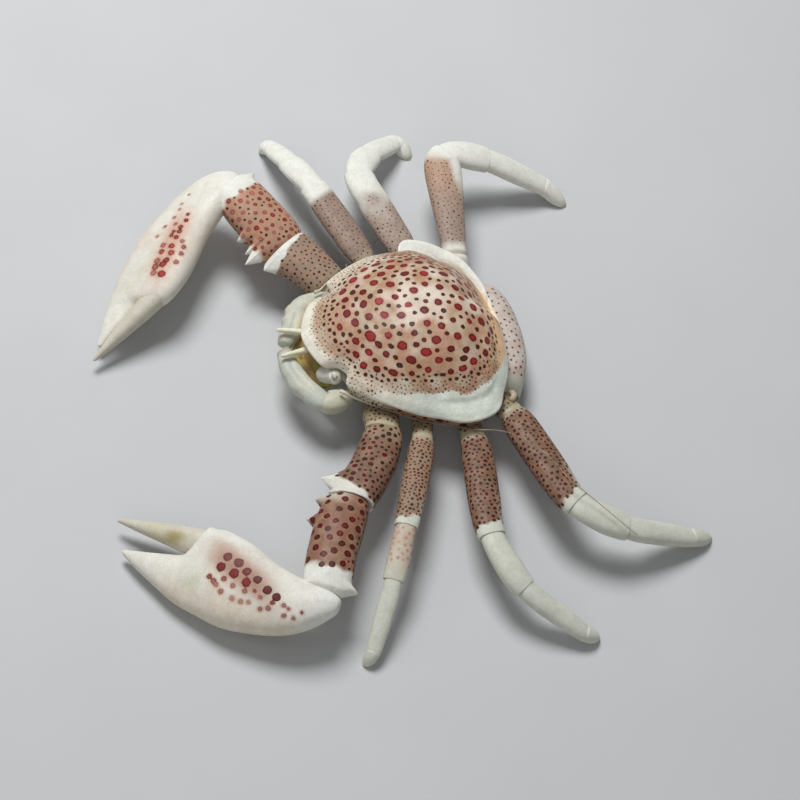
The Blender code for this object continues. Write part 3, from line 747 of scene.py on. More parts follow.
def dome(turn, share):
    """The carapace's upper surface with its rolled lip, its grooves and the ledge along its side flaps."""
    angle = np.abs(turn)
    far = margin_reach(turn, share)
    rim = margin_height(turn)
    height = MARGIN_Z + (rim - MARGIN_Z) * share ** 3 + DOME_HEIGHT * (1 - share ** DOME_POWER)
    height -= RIGHT_DOME_FALL * right_fall(turn) * ramp(0.3, 0.87, share)
    front = ramp(math.radians(66), math.radians(34), angle)
    height += (0.05 + 0.15 * front) * bump(share, 0.955, 0.035 + 0.014 * front, 2)
    height -= 0.06 * front * bump(share, 0.89, 0.035, 2)
    degrees = np.degrees(angle)
    on_blade = ramp(84, 88, degrees) * ramp(160, 140, degrees)
    on_flap = np.where(turn < 0, on_blade, 0.12 * bump(degrees, 109, 20, 6))
    inner = np.where(turn < 0, 0.925, 0.87)
    ledge = on_flap * ramp(inner, inner + 0.035, share)
    height += (rim + 0.3 * (share - 0.94) / 0.06 - height) * ledge
    x = far * np.sin(turn)
    y = WIDEST_Y - far * np.cos(turn)
    height -= 0.13 * bump(y, -1.2 + 0.045 * x ** 2, 0.9, 2) * ramp(10.5, 8.0, np.abs(x))
    height -= 0.10 * bump(y, 7.2 - 0.01 * x ** 2, 0.7, 2) * ramp(9.0, 6.0, np.abs(x))
    height -= 0.12 * bump(x, 0, 0.8, 2) * ramp(8.0, 10.5, -y)
    return np.stack([x, y, height], axis=1)


def make_carapace():
    shell = added(bpy.ops.mesh.primitive_grid_add, "carapace_shell", x_subdivisions=GRID,
                  y_subdivisions=GRID, size=2.0, location=(0, 0, 0))
    flat = points_of(shell)
    u, v = flat[:, 0], flat[:, 1]
    wide = np.abs(u) >= np.abs(v)
    share = np.where(wide, np.abs(u), np.abs(v))
    safe_u = np.where(u == 0, 1e-9, u)
    safe_v = np.where(v == 0, 1e-9, v)
    turn_wide = np.where(u > 0, 0, math.pi) + math.pi / 4 * v / safe_u
    turn_tall = math.pi / 2 - math.pi / 4 * u / safe_v + np.where(v > 0, 0, math.pi)
    around = np.where(wide, turn_wide, turn_tall) + math.pi / 2
    turn = np.arctan2(np.sin(around), np.cos(around))
    top = dome(turn, share)
    top[:, 2] += cloud(top, 2.6, 11) * 0.02
    move_points(shell, top)
    edit_all()
    bpy.ops.mesh.region_to_loop()
    for _ in FLANK:
        bpy.ops.mesh.extrude_region_move(TRANSFORM_OT_translate={"value": (0, 0, -0.1)})
    bpy.ops.mesh.edge_face_add()
    leave_edit()
    points = points_of(shell)
    count = len(flat)
    rim_count = (len(points) - count) // len(FLANK)
    turn_all = np.arctan2(points[:, 0], WIDEST_Y - points[:, 1])
    turn_all[:count] = turn
    share_all = np.full(len(points), 1.02)
    share_all[:count] = share
    cosine = np.cos(turn_all)
    shallow = 1 - 0.5 * ramp(0.55, 0.9, cosine) - 0.2 * ramp(0.0, TILT_END, -cosine)
    shallow += FLANK_EXTRA * bump(turn_all, FLANK_ANGLE, FLANK_HALF_ANGLE)
    for k, (inset, fall) in enumerate(FLANK):
        ring = slice(count + k * rim_count, count + (k + 1) * rim_count)
        t = turn_all[ring]
        far = margin_reach(t) - inset
        points[ring] = np.stack([far * np.sin(t), WIDEST_Y - far * np.cos(t),
                                 margin_height(t) - fall * shallow[ring]], axis=1)
    move_points(shell, points)

    degrees = np.degrees(np.abs(turn_all))
    rim = (1 - np.minimum(share_all, 1)) * margin_reach(turn_all)
    below = share_all > 1.01
    fall_here = margin_height(turn_all) - points[:, 2]
    x, y, _ = points.T

    # Ground: tan pink with pale clearings, a pale crest that is partly a painted highlight, and cream and
    # white along the rim.
    ground = mixed(TAN, PINK, ramp(-0.6, 1.0, cloud(points, 7.0, 3)) * 0.6)
    # Painted shade: the ground turns browner and darker toward the animal's right side.
    ground = mixed(ground, (0.36, 0.22, 0.13), ramp(3.0, 9.0, -x) * 0.5)
    veins = np.exp(-(cloud(points, 2.0, 61) / 0.16) ** 2) + np.exp(-(cloud(points, 1.3, 62) / 0.13) ** 2)
    ground = mixed(ground, (0.50, 0.45, 0.34), np.clip(veins, 0, 1) * 0.4)
    # The pale crest along the top is partly the shell's own colour and partly a painted highlight.
    crest_and_highlight = bump(x, -0.6, 2.6, 2) * bump(y, 3.0, 5.5)
    ground = mixed(ground, GREENISH, ramp(0.2, 1.3, cloud(points, 2.6, 5) + 0.5 * crest_and_highlight) * 0.6)
    clearing_and_highlight = ramp(-0.2, 2.6, 0.7 * cloud(points, 2.4, 8) + 2.0 * crest_and_highlight)
    ground = mixed(ground, (0.78, 0.70, 0.60), clearing_and_highlight * 0.85)
    # The yellow patch at the rear is its own colour, painted brighter as painted light on a slope that
    # faces away from the key lamp.
    rear_yellow_painted_bright = bump(y, 10.0, 1.7, 2) * ramp(8.5, 6.0, np.abs(x - 1.5))
    ground = mixed(ground, (0.95, 0.62, 0.33), rear_yellow_painted_bright * 0.9 * ramp(-1.6, 0.2, cloud(points, 2.5, 9)))
    ground = mixed(ground, (0.54, 0.40, 0.29), ramp(-6.0, -9.5, y) * 0.6)
    side_pale = ramp(3.0, 0.6, rim) * ramp(12, 34, degrees) * ramp(84, 62, degrees)
    ground = mixed(ground, (0.70, 0.62, 0.50), side_pale * 0.85)
    band = eased(((0, 1.15), (14, 1.0), (22, 0.7), (30, 0.3), (44, 0.1), (52, 0.45), (62, 1.1), (75, 1.45),
                  (95, 2.0), (115, 1.95), (138, 1.2), (152, 0.5), (165, 0.3), (180, 0.3)), degrees)[:, 0]
    right_band = eased(((0, 1.15), (14, 1.0), (24, 0.6), (36, 0.35), (70, 0.3), (83, 0.15), (86, 0.45),
                        (90, 0.72), (112, 0.70), (135, 0.66), (150, 0.4), (180, 0.3)), degrees)[:, 0]
    band = np.where(turn_all < 0, right_band, band)
    wavy = band + 0.1 * cloud(points, 2.6, 21) * np.where(turn_all < 0, 0.3, 1)
    blur = 0.12 + 0.25 * ramp(62, 40, degrees)
    white = ramp(blur, -blur, rim - wavy)
    rim_colour = mixed((0.84, 0.81, 0.70), (0.82, 0.88, 0.79), ramp(50, 85, degrees))
    rim_colour = mixed(rim_colour, (0.75, 0.80, 0.70),
                       ramp(0.2, 1.4, cloud(points, 2.2, 23)) * ramp(60, 90, degrees) * (turn_all > 0))
    rim_colour = mixed(rim_colour, (0.82, 0.82, 0.76), ramp(80, 88, degrees) * (turn_all < 0))
    rim_colour = mixed(rim_colour, CREAM, ramp(148, 160, degrees))
    ground = mixed(ground, rim_colour, white)
    flank = below * ramp(0.4, 0.55, fall_here)
    flank_colour = mixed((0.66, 0.60, 0.46), (0.34, 0.20, 0.13), ramp(52, 66, degrees))
    ground = mixed(ground, flank_colour, flank)

    # Spots: large red ones in the middle, darker ones between, near-black dots at the front and the sides.
    on_top = (share_all <= 1.0) & (white < 0.4)
    inner = ramp(0.6, 3.0, rim - band)
    frontness = ramp(-5.0, -9.5, y)
    far_side = ramp(4.5, 9.0, -x)
    calm = np.clip(inner * (1 - frontness) * (1 - 0.6 * far_side), 0, 1)
    rng = np.random.default_rng(7)
    count_all = len(points)
    spots = []

    def add(found, tone_low, tone_high, stretched):
        for centre, radius, i in found:
            way = np.array((WIDEST_Y - points[i, 1], points[i, 0], 0.0))
            way /= max(np.linalg.norm(way), 1e-6)
            away = math.hypot(points[i, 0], points[i, 1] - WIDEST_Y)
            stretch = 1 + stretched * rng.uniform(0.1, 1) * float(ramp(3.5, 8.0, away))
            spots.append((centre, radius, rng.uniform(tone_low, tone_high), way, stretch))

    big = (0.27 + 0.17 * calm) * rng.uniform(0.76, 1.18, count_all)
    add(scatter(points, on_top & (calm > 0.4), big, 0.70, 31, 20000), 0.34, 0.62, 0.5)
    medium = (0.15 + 0.12 * inner * (1 - 0.4 * frontness)) * rng.uniform(0.8, 1.25, count_all)
    gap = 0.24 + 0.14 * calm
    add(scatter(points, on_top & (inner > 0.1), medium, gap, 32, 40000, spots), 0.58, 0.85, 0.6)
    small = (0.08 + 0.06 * inner) * rng.uniform(0.7, 1.3, count_all)
    off_band = (degrees < 80) | (rim > 1.2)
    fine_zone = (share_all <= 1.0) & (white < 0.9) & (inner < 0.5) & off_band & (degrees < 150)
    add(scatter(points, fine_zone, small, 0.2, 33, 20000, spots), 0.85, 1.0, 0.0)
    low_zone = (flank > 0.5) & (degrees > 60) & (fall_here > 0.75) & (fall_here < 1.5)
    add(scatter(points, low_zone, rng.uniform(0.14, 0.36, count_all), 0.35, 34, 9000), 0.35, 0.9, 0.6)
    low_front = (flank > 0.5) & (degrees < 60) & (degrees > 30)
    add(scatter(points, low_front, rng.uniform(0.06, 0.12, count_all), 0.17, 35, 9000), 0.85, 1.0, 0.0)
    paint(shell, ground, *spot_distance(points, spots))
    complete(shell, BODY, "shell_spotted", "carapace")


# Looks of the limbs.

def look_maker(painter):
    """Turns a painter of points, with their places along an article, into a maker of looks."""
    def made(*settings, **named):
        return lambda points, length: painter(points, points[:, 2] / length, *settings, **named)
    return made


@look_maker
def plain(points, place, colour, patch=WHITE, share=0.5, seed=1, size=2.5):
    ground = mixed(colour, patch, ramp(-0.8, 1.0, cloud(points, size, seed)) * share)
    return ground, None, None


@look_maker
def freckled(points, place, colour, end_colour, seed):
    """A pale article with faint reddish freckles, paler toward its end."""
    ground = mixed(colour, (0.50, 0.36, 0.26), ramp(-0.6, 1.2, cloud(points, 2.4, seed)) * 0.4)
    ground = mixed(ground, end_colour, ramp(0.5, 1.0, place) * 0.7)
    spots = dots(points, (place > 0.08) & (place < 0.75), 0.05, 0.09, 0.42, seed, 0.0, 0.05)
    return ground, *spot_distance(points, spots)


@look_maker
def ischium_look(points, place, seed, pale=0.0):
    """The short first article: tan with a pale rim and small brown dots."""
    ground = mixed((0.27, 0.21, 0.13), (0.38, 0.31, 0.20),
                   ramp(-0.5, 1.0, cloud(points, 1.6, seed)) * 0.6)
    white = np.maximum(ramp(0.82, 0.97, place), pale)
    ground = mixed(ground, (0.44, 0.40, 0.28) if pale == 0 else WHITE, white)
    spots = dots(points, (white < 0.5) & (place > 0.1), 0.08, 0.15, 0.2, seed, 0.65, 0.9)
    return ground, *spot_distance(points, spots)


@look_maker
def leg_merus_look(points, place, leg, side, seed):
    lean = points[:, 0] / np.abs(points[:, 0]).max()
    ground = mixed(MAUVE, (0.30, 0.21, 0.14), ramp(-0.3, 1.2, cloud(points, 1.3, seed)) * 0.45)
    start_rim = ramp(0.075, 0.03, place)
    if side == "left":
        if leg == "leg_2":
            ground = mixed(ground, (0.36, 0.27, 0.18), 0.55)
        line = 0.925 + 0.03 * lean + 0.01 * cloud(points, 0.9, seed + 2)
        streak = ramp(0.50, 0.9, place) * ramp(0.45, 0.85, -lean) * (0.9 if leg == "leg_4" else 0.4)
        white = np.maximum(ramp(line - 0.015, line + 0.02, place), streak)
    else:
        ground = mixed(ground, LAVENDER, {"leg_2": 0.5, "leg_3": 0.8, "leg_4": 0.7}[leg])
        if leg == "leg_4":
            ground = mixed(ground, (0.50, 0.32, 0.21), ramp(0.3, 0.85, place) * 0.7)
        if leg == "leg_2":
            white = ramp(0.78, 0.88, place + 0.03 * lean)
        elif leg == "leg_3":
            white = ramp(0.42, 0.85, place + 0.05 * cloud(points, 2.5, seed + 3))
        else:
            rear_edge = ramp(0.1, 0.5, -lean + 0.9 * (place - 0.75)) * ramp(0.5, 0.8, place)
            white = np.maximum(ramp(0.88, 0.97, place), rear_edge * 0.95)
            white = np.maximum(white, ramp(0.16, 0.06, place))
    # The left legs get a white darkened by painted shade.
    pale = WHITE_IN_PAINTED_SHADE if side == "left" else WHITE
    ground = mixed(ground, pale, white)
    ground = mixed(ground, (0.42, 0.36, 0.26), start_rim * 0.8)
    allowed = (white < 0.4) & (place > 0.03) & (place < 0.99)
    if side == "left":
        low, high, gap = (0.10, 0.16, 0.13) if leg == "leg_2" else (0.13, 0.2, 0.15)
        spots = dots(points, allowed, low, high, gap, seed, 0.58, 0.8)
    else:
        spots = dots(points, allowed & (white < 0.2), 0.07, 0.12, 0.26, seed, 0.6, 0.85)
        spots = [(c, r * 0.8, t, w, s) for c, r, t, w, s in spots]
    return ground, *spot_distance(points, spots)


@look_maker
def claw_tip_look(points, place, colour, seed):
    ground = mixed(colour, WHITE, ramp(-0.8, 1.0, cloud(points, 3.0, seed)) * 0.3)
    return mixed(ground, (0.50, 0.38, 0.24), ramp(0.88, 0.97, place) * 0.6), None, None


@look_maker
def arm_merus_look(points, place, side, seed):
    ground = all_over(points, (0.21, 0.125, 0.085))
    if side == "right":
        ground = mixed(ground, (0.38, 0.28, 0.21), 0.7)
    ground = mixed(ground, (0.34, 0.24, 0.16), ramp(-0.4, 1.2, cloud(points, 1.6, seed)) * 0.45)
    ground = mixed(ground, (0.36, 0.30, 0.20), ramp(0.3, 0.05, place) * 0.6)
    border = 0.92 - 0.035 * points[:, 0] + 0.01 * cloud(points, 1.5, seed)
    white = ramp(border - 0.02, border + 0.02, place)
    if side == "left":
        tooth, low, high, gap = (2.2, 2.7), 0.14, 0.29, 0.2
    else:
        tooth, low, high, gap = (3.6, 4.0), 0.09, 0.16, 0.28
    white = np.maximum(white, ramp(*tooth, points[:, 0]))
    ground = mixed(ground, WHITE if side == "right" else (0.72, 0.72, 0.65), white)
    spots = dots(points, (white < 0.4) & (place > 0.02), low, high, gap, seed, 0.58, 0.8)
    return ground, *spot_distance(points, spots)


@look_maker
def arm_carpus_look(points, place, side, seed):
    x = points[:, 0]
    if side == "left":
        ground = mixed((0.26, 0.13, 0.085), (0.36, 0.25, 0.16),
                       ramp(-0.4, 1.2, cloud(points, 1.5, seed)) * 0.5)
        ground = mixed(ground, (0.56, 0.51, 0.42), ramp(0.2, 0.06, place) * ramp(-0.8, 1.6, x) * 0.9)
    else:
        ground = mixed((0.46, 0.29, 0.20), (0.52, 0.27, 0.16),
                       ramp(-0.4, 1.2, cloud(points, 2.2, seed)) * 0.6)
    white = ramp(0.80, 0.87, place + 0.015 * cloud(points, 1.2, seed + 1))
    white = np.maximum(white, ramp(3.3, 3.9, x))
    ground = mixed(ground, WHITE, white)
    allowed = (white < 0.35) & (place > 0.04)
    if side == "left":
        spots = dots(points, allowed & (x > -1.5), 0.30, 0.39, 0.32, seed, 0.58, 0.76)
        spots += dots(points, allowed & (x < -1.0), 0.12, 0.22, 0.25, seed + 9, 0.6, 0.9, taken=spots)
    else:
        spots = dots(points, allowed, 0.21, 0.31, 0.34, seed, 0.05, 0.32)
        spots += dots(points, allowed, 0.12, 0.17, 0.26, seed + 5, 0.6, 0.9, taken=spots)
    return ground, *spot_distance(points, spots)


def spot_rows(points, side, scale, breadth, seed):
    """The palm's spots, in rows that stray a little, each put on the nearest point of its upper face."""
    rng = np.random.default_rng(seed)
    upper = np.flatnonzero(points[:, 1] > 0.1)
    spots = []
    for start, end, count, first, last, shade, stray in PALM_ROWS[side]:
        for k in range(count):
            t = (k + 0.5) / count if count > 1 else 0.5
            along = (start[0] + (end[0] - start[0]) * t) * scale + rng.uniform(-stray, stray)
            across = (start[1] + (end[1] - start[1]) * t) * breadth + rng.uniform(-stray, stray) * 0.8
            near = upper[np.argmin((points[upper, 2] - along) ** 2 + (points[upper, 0] - across) ** 2)]
            radius = (first + (last - first) * t) * rng.uniform(0.88, 1.08)
            tone = shade + rng.uniform(-0.06, 0.06)
            spots.append((points[near], radius, max(tone, 0), np.array((1.0, 0, 0)), 1.0))
    return spots


@look_maker
def palm_look(points, place, side, seed, scale, breadth):
    along, x, y = points[:, 2] / scale, points[:, 0] / breadth, points[:, 1]
    ground = coats(
        (0.76, 0.75, 0.68),
        ((0.72, 0.64, 0.52), ramp(-0.2, 1.4, cloud(points, 5.0, seed)) * 0.5),
        ((0.78, 0.68, 0.56), ramp(-2.6, -4.6, x) * 0.6),
        ((0.80, 0.81, 0.77), ramp(2.0, -1.0, along) * 0.8),
    )
    above = ramp(-0.2, 0.6, y)
    if side == "left":
        field = bump(along, 8.3, 4.2) * bump(x - 0.37 * (along - 7.9), -0.4, 1.7, 3) * above
        ground = coats(
            ground,
            ((0.37, 0.185, 0.12), field * 0.9),
            ((0.58, 0.57, 0.42), bump(along, 12.9, 1.3, 2) * bump(x, -2.9, 1.0, 2) * 0.6 * above),
            ((0.80, 0.80, 0.74), ramp(1.9, 3.2, x) * 0.8),
        )
    else:
        field = bump(along, 9.4, 4.6) * bump(x - 0.22 * (along - 9), 0.75, 1.6, 3) * above
        ground = mixed(ground, (0.60, 0.34, 0.24), field * 0.8)
        greenish = bump(along, 12.5, 2.6, 2) * bump(x, -0.9, 0.9, 2)
        ground = mixed(ground, (0.62, 0.58, 0.44), greenish * 0.45 * above)
    return ground, *spot_distance(points, spot_rows(points, side, scale, breadth, seed))


@look_maker
def finger_look(points, place, side):
    ground = all_over(points, (0.62, 0.59, 0.50))
    if side == "left":
        spot = bump(place + 0.05 * points[:, 0], 0.26, 0.12, 2) * bump(points[:, 0], -0.35, 0.75, 3)
        ground = mixed(ground, (0.38, 0.31, 0.12), spot * 0.9)
        ground = mixed(ground, (0.56, 0.54, 0.34), bump(place, 0.52, 0.12, 2) * 0.5)
    else:
        spot = bump(place, 0.22, 0.08, 2) * bump(points[:, 0], -0.6, 0.5, 2)
        ground = mixed(ground, (0.55, 0.50, 0.32), spot * 0.7)
    return ground, None, None


# Limbs.

def make_leg(leg, side, sign, seed):
    sizes = LEGS[leg]
    width = sizes["width"][side]
    line = limb_line([Vector(point) for point in sizes[side]], LEG_BEND)
    arcs = line[2]
    # The left legs get a white darkened by painted shade.
    white = WHITE_IN_PAINTED_SHADE if side == "left" else WHITE
    carpus_look = plain(white, share=0)
    if (leg, side) == ("leg_2", "left"):
        carpus_look = freckled((0.54, 0.48, 0.38), white, seed + 1)
    base_pale = 0.6 if (leg, side) == ("leg_4", "right") else 0
    parts = (
        ("base", BASE_SHAPE, "shell_mauve", ischium_look(seed, base_pale), 10),
        ("merus", MERUS_SHAPE, "shell_mauve", leg_merus_look(leg, side, seed), 30),
        ("carpus", CARPUS_SHAPE, "shell_pale", carpus_look, 16),
        ("propodus", PROPODUS_SHAPE, "shell_pale", plain(white, WHITE, 0.25, seed + 2, 3.5), 18),
        ("dactyl", DACTYL_SHAPE, "shell_pale", claw_tip_look(white, seed + 3), 12),
    )
    for i, (part, shape, slot, look, count) in enumerate(parts):
        node = "_".join((leg, part, side))
        last = part == "dactyl"
        if (part, leg, side) == ("merus", "leg_4", "right"):
            shape = CLUB_SHAPE
        sides, cap = (24, 0.24) if part == "merus" else (18, 0.14)
        make_article(node + "_shell", line, (arcs[i], arcs[i + 1]), sign,
                     even(shape, width, sizes["extra"][side], GROWTH[part]), slot, [node], look,
                     sides=sides, count=count, start_cap=width * cap, ending="round" if last else "collar",
                     end_cap=width * 0.05)


def toothed(teeth, stations):
    """Pulls flat pointed teeth out of the inner or the outer edge."""
    def sculpt(points, length):
        place = points[:, 2] / length
        inner = eased(stations, place)[:, 0]
        lean = np.clip(points[:, 0] / np.maximum(inner, 0.1), 0, 1.1)
        outer = eased(stations, place)[:, 1]
        lean_out = np.clip(-points[:, 0] / np.maximum(outer, 0.1), 0, 1.1)
        inward, outward = np.zeros(len(points)), np.zeros(len(points))
        for where, half, reach in teeth:
            off = (points[:, 2] - where * length) / half
            shape = np.maximum(0, 1 - np.abs(np.where(off > 0, off * 1.5, off))) ** 1.15
            if reach > 0:
                inward = np.maximum(inward, shape * reach)
            else:
                outward = np.maximum(outward, -shape * reach)
        points[:, 0] += inward * lean ** TOOTH_POWER - outward * lean_out ** TOOTH_POWER
        points[:, 1] *= 1 - 0.6 * np.clip(inward, 0, 1) * lean ** TOOTH_POWER
        return points
    return sculpt


def make_claw(side, sign, seed):
    arm = CHELIPEDS[side]
    along = arm["along"].normalized()
    across = (arm["across"] - along * arm["across"].dot(along)).normalized()
    up = along.cross(across)
    if up.z < 0:
        up = -up
    scale, breadth = arm["scale"], arm["breadth"]
    carpus_end = arm["wrist"] + across * breadth * 1.35
    line = limb_line([arm["root"], arm["base_end"], arm["knee"], carpus_end], ARM_BEND)
    arcs = line[2]
    merus, carpus = ARM_MERUS[side], ARM_CARPUS[side]
    make_article("cheliped_base_shell_" + side, line, (arcs[0], arcs[1]), sign, ARM_BASE, "shell_mauve",
                 ["cheliped_base_" + side], ischium_look(seed), sides=24, count=10)
    make_article("cheliped_merus_shell_" + side, line, (arcs[1], arcs[2]), sign, merus, "shell_mauve",
                 ["cheliped_merus_" + side], arm_merus_look(side, seed + 1), sides=28, count=36,
                 start_cap=0.8, sculpt=toothed(MERUS_TEETH[side], merus))
    make_article("cheliped_carpus_shell_" + side, line, (arcs[2], arcs[3]), sign, carpus, "shell_spotted",
                 ["cheliped_carpus_" + side], arm_carpus_look(side, seed + 2), sides=30, count=44,
                 start_cap=0.9, ending="round", end_cap=0.7, sculpt=toothed(CARPUS_TEETH[side], carpus))

    outline = PALM[side]
    low, high = outline[0][0], outline[-1][0]
    places = np.concatenate([np.linspace(low, 12.0, 19), np.linspace(12.6, 16.4, 13),
                             np.linspace(17.0, high, 8)])
    values = eased(outline, places)
    rings = []
    for place, (bottom, top, thick) in zip(places, values):
        middle, half = (bottom + top) / 2, (top - bottom) / 2
        rings.append((place * scale, middle * breadth, 0.0, half * breadth, thick * breadth))
    first, last = rings[0], rings[-1]
    rings.insert(0, (first[0] - 0.12, first[1], 0.0, first[3] * 0.5, first[4] * 0.5))
    rings.append((last[0] + 0.1, last[1] + 0.03, 0.0, last[3] * 0.45, last[4] * 0.45))
    palm = drawn_out("palm_shell_" + side, rings, 36)
    dress(palm, palm_look(side, seed + 3, scale, breadth), points_of(palm))
    complete(palm, Matrix.Translation(arm["wrist"]) @ Matrix((across, up, along)).transposed().to_4x4(),
             "shell_pale", "palm_" + side)

    start, end = FINGER_START, arm["finger_tip"]
    run = Vector(((end[1] - start[1]) * breadth, (end[0] - start[0]) * scale))
    length = run.length
    stations = [(p, a * breadth, b * breadth, c * breadth) for p, a, b, c in FINGER]
    finger = drawn_out("finger_shell_" + side, body_rings(length, stations, 18, 1.0, "tip"), 24)
    dress(finger, finger_look(side), points_of(finger), length)
    ahead = (along * run.y + across * run.x).normalized()
    aside = (across - ahead * across.dot(ahead)).normalized()
    where = arm["wrist"] + along * start[0] * scale + across * start[1] * breadth
    complete(finger, Matrix.Translation(where) @ Matrix((aside, up, ahead)).transposed().to_4x4(),
             "shell_pale", "finger_" + side)


# Head, pleon and the rest.

def mirrored(vector, sign):
    return Vector((vector.x * sign, vector.y, vector.z))


def rounded_path(points, count):
    fine = []
    for i in range(len(points) - 1):
        before, here, there = points[max(i - 1, 0)], points[i], points[i + 1]
        after = points[min(i + 2, len(points) - 1)]
        for k in range(10):
            t = k / 10
            fine.append(0.5 * (2 * here + (there - before) * t
                               + (2 * before - 5 * here + 4 * there - after) * t ** 2
                               + (3 * here - before - 3 * there + after) * t ** 3))
    fine.append(points[-1])
    table = np.array([tuple(p) for p in fine])
    lengths = np.concatenate([[0], np.cumsum(np.linalg.norm(np.diff(table, axis=0), axis=1))])
    wanted = np.linspace(0, lengths[-1], count)
    return np.stack([np.interp(wanted, lengths, table[:, axis]) for axis in range(3)], axis=1)


def tube(name, path, halves, colouring, slot, nodes, resolution=2, matrix=STILL):
    """A thin limb or feeler along a path, bevelled round and turned into a mesh."""
    curve = bpy.data.curves.new(name, "CURVE")
    curve.dimensions = "3D"
    curve.bevel_depth = 1.0
    curve.bevel_resolution = resolution
    curve.use_fill_caps = True
    spline = curve.splines.new("POLY")
    spline.points.add(len(path) - 1)
    for point, place, half in zip(spline.points, path, halves):
        point.co = (*place, 1)
        point.radius = half
    pick(linked(name, curve))
    bpy.ops.object.convert(target="MESH")
    piece = bpy.context.object
    edit_all()
    bpy.ops.mesh.remove_doubles(threshold=0.0001)
    leave_edit()
    dress(piece, colouring, points_of(piece))
    complete(piece, matrix, slot, *nodes)


def make_eye(side, sign):
    """A glossy eye on its swollen stalk, with the dark squiggle that runs across it."""
    eye = added(bpy.ops.mesh.primitive_uv_sphere_add, "eye_ball_" + side, segments=40, ring_count=24,
                radius=EYE_RADIUS, location=(0, 0, 0))
    points = points_of(eye)
    ground = mixed((0.68, 0.67, 0.59), (0.46, 0.44, 0.38), ramp(0, 1.2, cloud(points, 0.5, 90)) * 0.5)
    outward = points[:, 0] * sign
    wave = points[:, 2] - SQUIGGLE_Z - 0.09 * np.sin(points[:, 1] * 9)
    squiggle = bump(wave, 0, 0.075, 2) * ramp(0.1, 0.25, outward) * bump(points[:, 1], -0.1, 0.36, 6)
    ground = mixed(ground, (0.02, 0.02, 0.02), squiggle * 0.95)
    ring = np.abs(np.hypot(points[:, 1] + 0.1, points[:, 2] - SQUIGGLE_Z) - EYE_RING)
    ground = mixed(ground, (0.88, 0.88, 0.82), bump(ring, 0, 0.06, 2) * 0.8)
    paint(eye, ground)
    middle = mirrored(EYE, sign) + Vector((0, 0, EYE_LIFT))
    complete(eye, BODY @ Matrix.Translation(middle), "cornea", "eye_" + side)
    start, end = mirrored(STALK, sign), mirrored(EYE, sign)
    line = limb_line([start, end])
    make_article("eye_stalk_" + side, line, (0, (end - start).length), sign, STALK_SHAPE, "feeler", [],
                 plain((0.60, 0.62, 0.55), (0.74, 0.76, 0.72), 0.6, 95), count=8, start_cap=0.85,
                 ending="round", end_cap=0.5, matrix=BODY)


def palp_shape(bow):
    """Bows the mouth limb forward, hollows its upper face and gives its outer edge low lobes."""
    def sculpt(points, length):
        place = np.clip(points[:, 2] / length, 0, 1)
        groove = bump(points[:, 0], -0.1, 0.38, 2) * bump(place, 0.55, 0.36, 6) * (points[:, 1] > 0)
        points[:, 1] -= 0.14 * groove
        lobes = 0.10 * np.sin(place * 19) * bump(place, 0.3, 0.35)
        points[:, 0] += lobes * ramp(0.2, 0.9, points[:, 0])
        points[:, 0] += bow * np.sin(math.pi * place)
        return points
    return sculpt


@look_maker
def palp_look(points, place, seed):
    ground = mixed((0.57, 0.57, 0.49), (0.51, 0.54, 0.48), ramp(-0.5, 1.2, cloud(points, 2.6, seed)))
    hollow = bump(points[:, 0], -0.75, 0.4, 2) * bump(place, 0.55, 0.4, 6) * ramp(0.0, 0.4, points[:, 1])
    ground = coats(
        ground,
        ((0.60, 0.62, 0.40), hollow * 0.55),
        ((0.72, 0.56, 0.44), ramp(-0.55, -0.95, points[:, 0]) * 0.5),
        ((0.30, 0.24, 0.14), bump(place, 0.985, 0.025, 2) * 0.6),
    )
    return ground, None, None


def make_mouth_limb(side, sign, seed):
    line = limb_line([mirrored(MOUTH_ROOT, sign), MOUTH_ELBOW[side], MOUTH_PALP_END[side]], MOUTH_BEND)
    arcs = line[2]
    make_article("maxilliped_base_shell_" + side, line, (arcs[0], arcs[1]), -sign, MOUTH_BASE_SHAPE,
                 "shell_pale", ["maxilliped_base_" + side],
                 plain((0.55, 0.56, 0.48), (0.58, 0.52, 0.38), 0.5, seed, 2.2), sides=24, count=12,
                 start_cap=0.7, matrix=BODY)
    make_article("maxilliped_palp_shell_" + side, line, (arcs[1], arcs[2]), -sign, MOUTH_PALP_SHAPE,
                 "shell_pale", ["maxilliped_palp_" + side], palp_look(seed + 1), sides=28, count=28,
                 ending="round", end_cap=0.25, sculpt=palp_shape(MOUTH_PALP_BOW[side]), matrix=BODY)


@look_maker
def whip_look(points, _):
    """Cream at the base beside the eye, dusky brown along the whip."""
    ground = mixed((0.26, 0.20, 0.14), (0.36, 0.29, 0.21), ramp(-0.5, 1.0, cloud(points, 2.0, 77)))
    return mixed(ground, (0.66, 0.62, 0.50), ramp(-3.5, -6.5, points[:, 1])), None, None


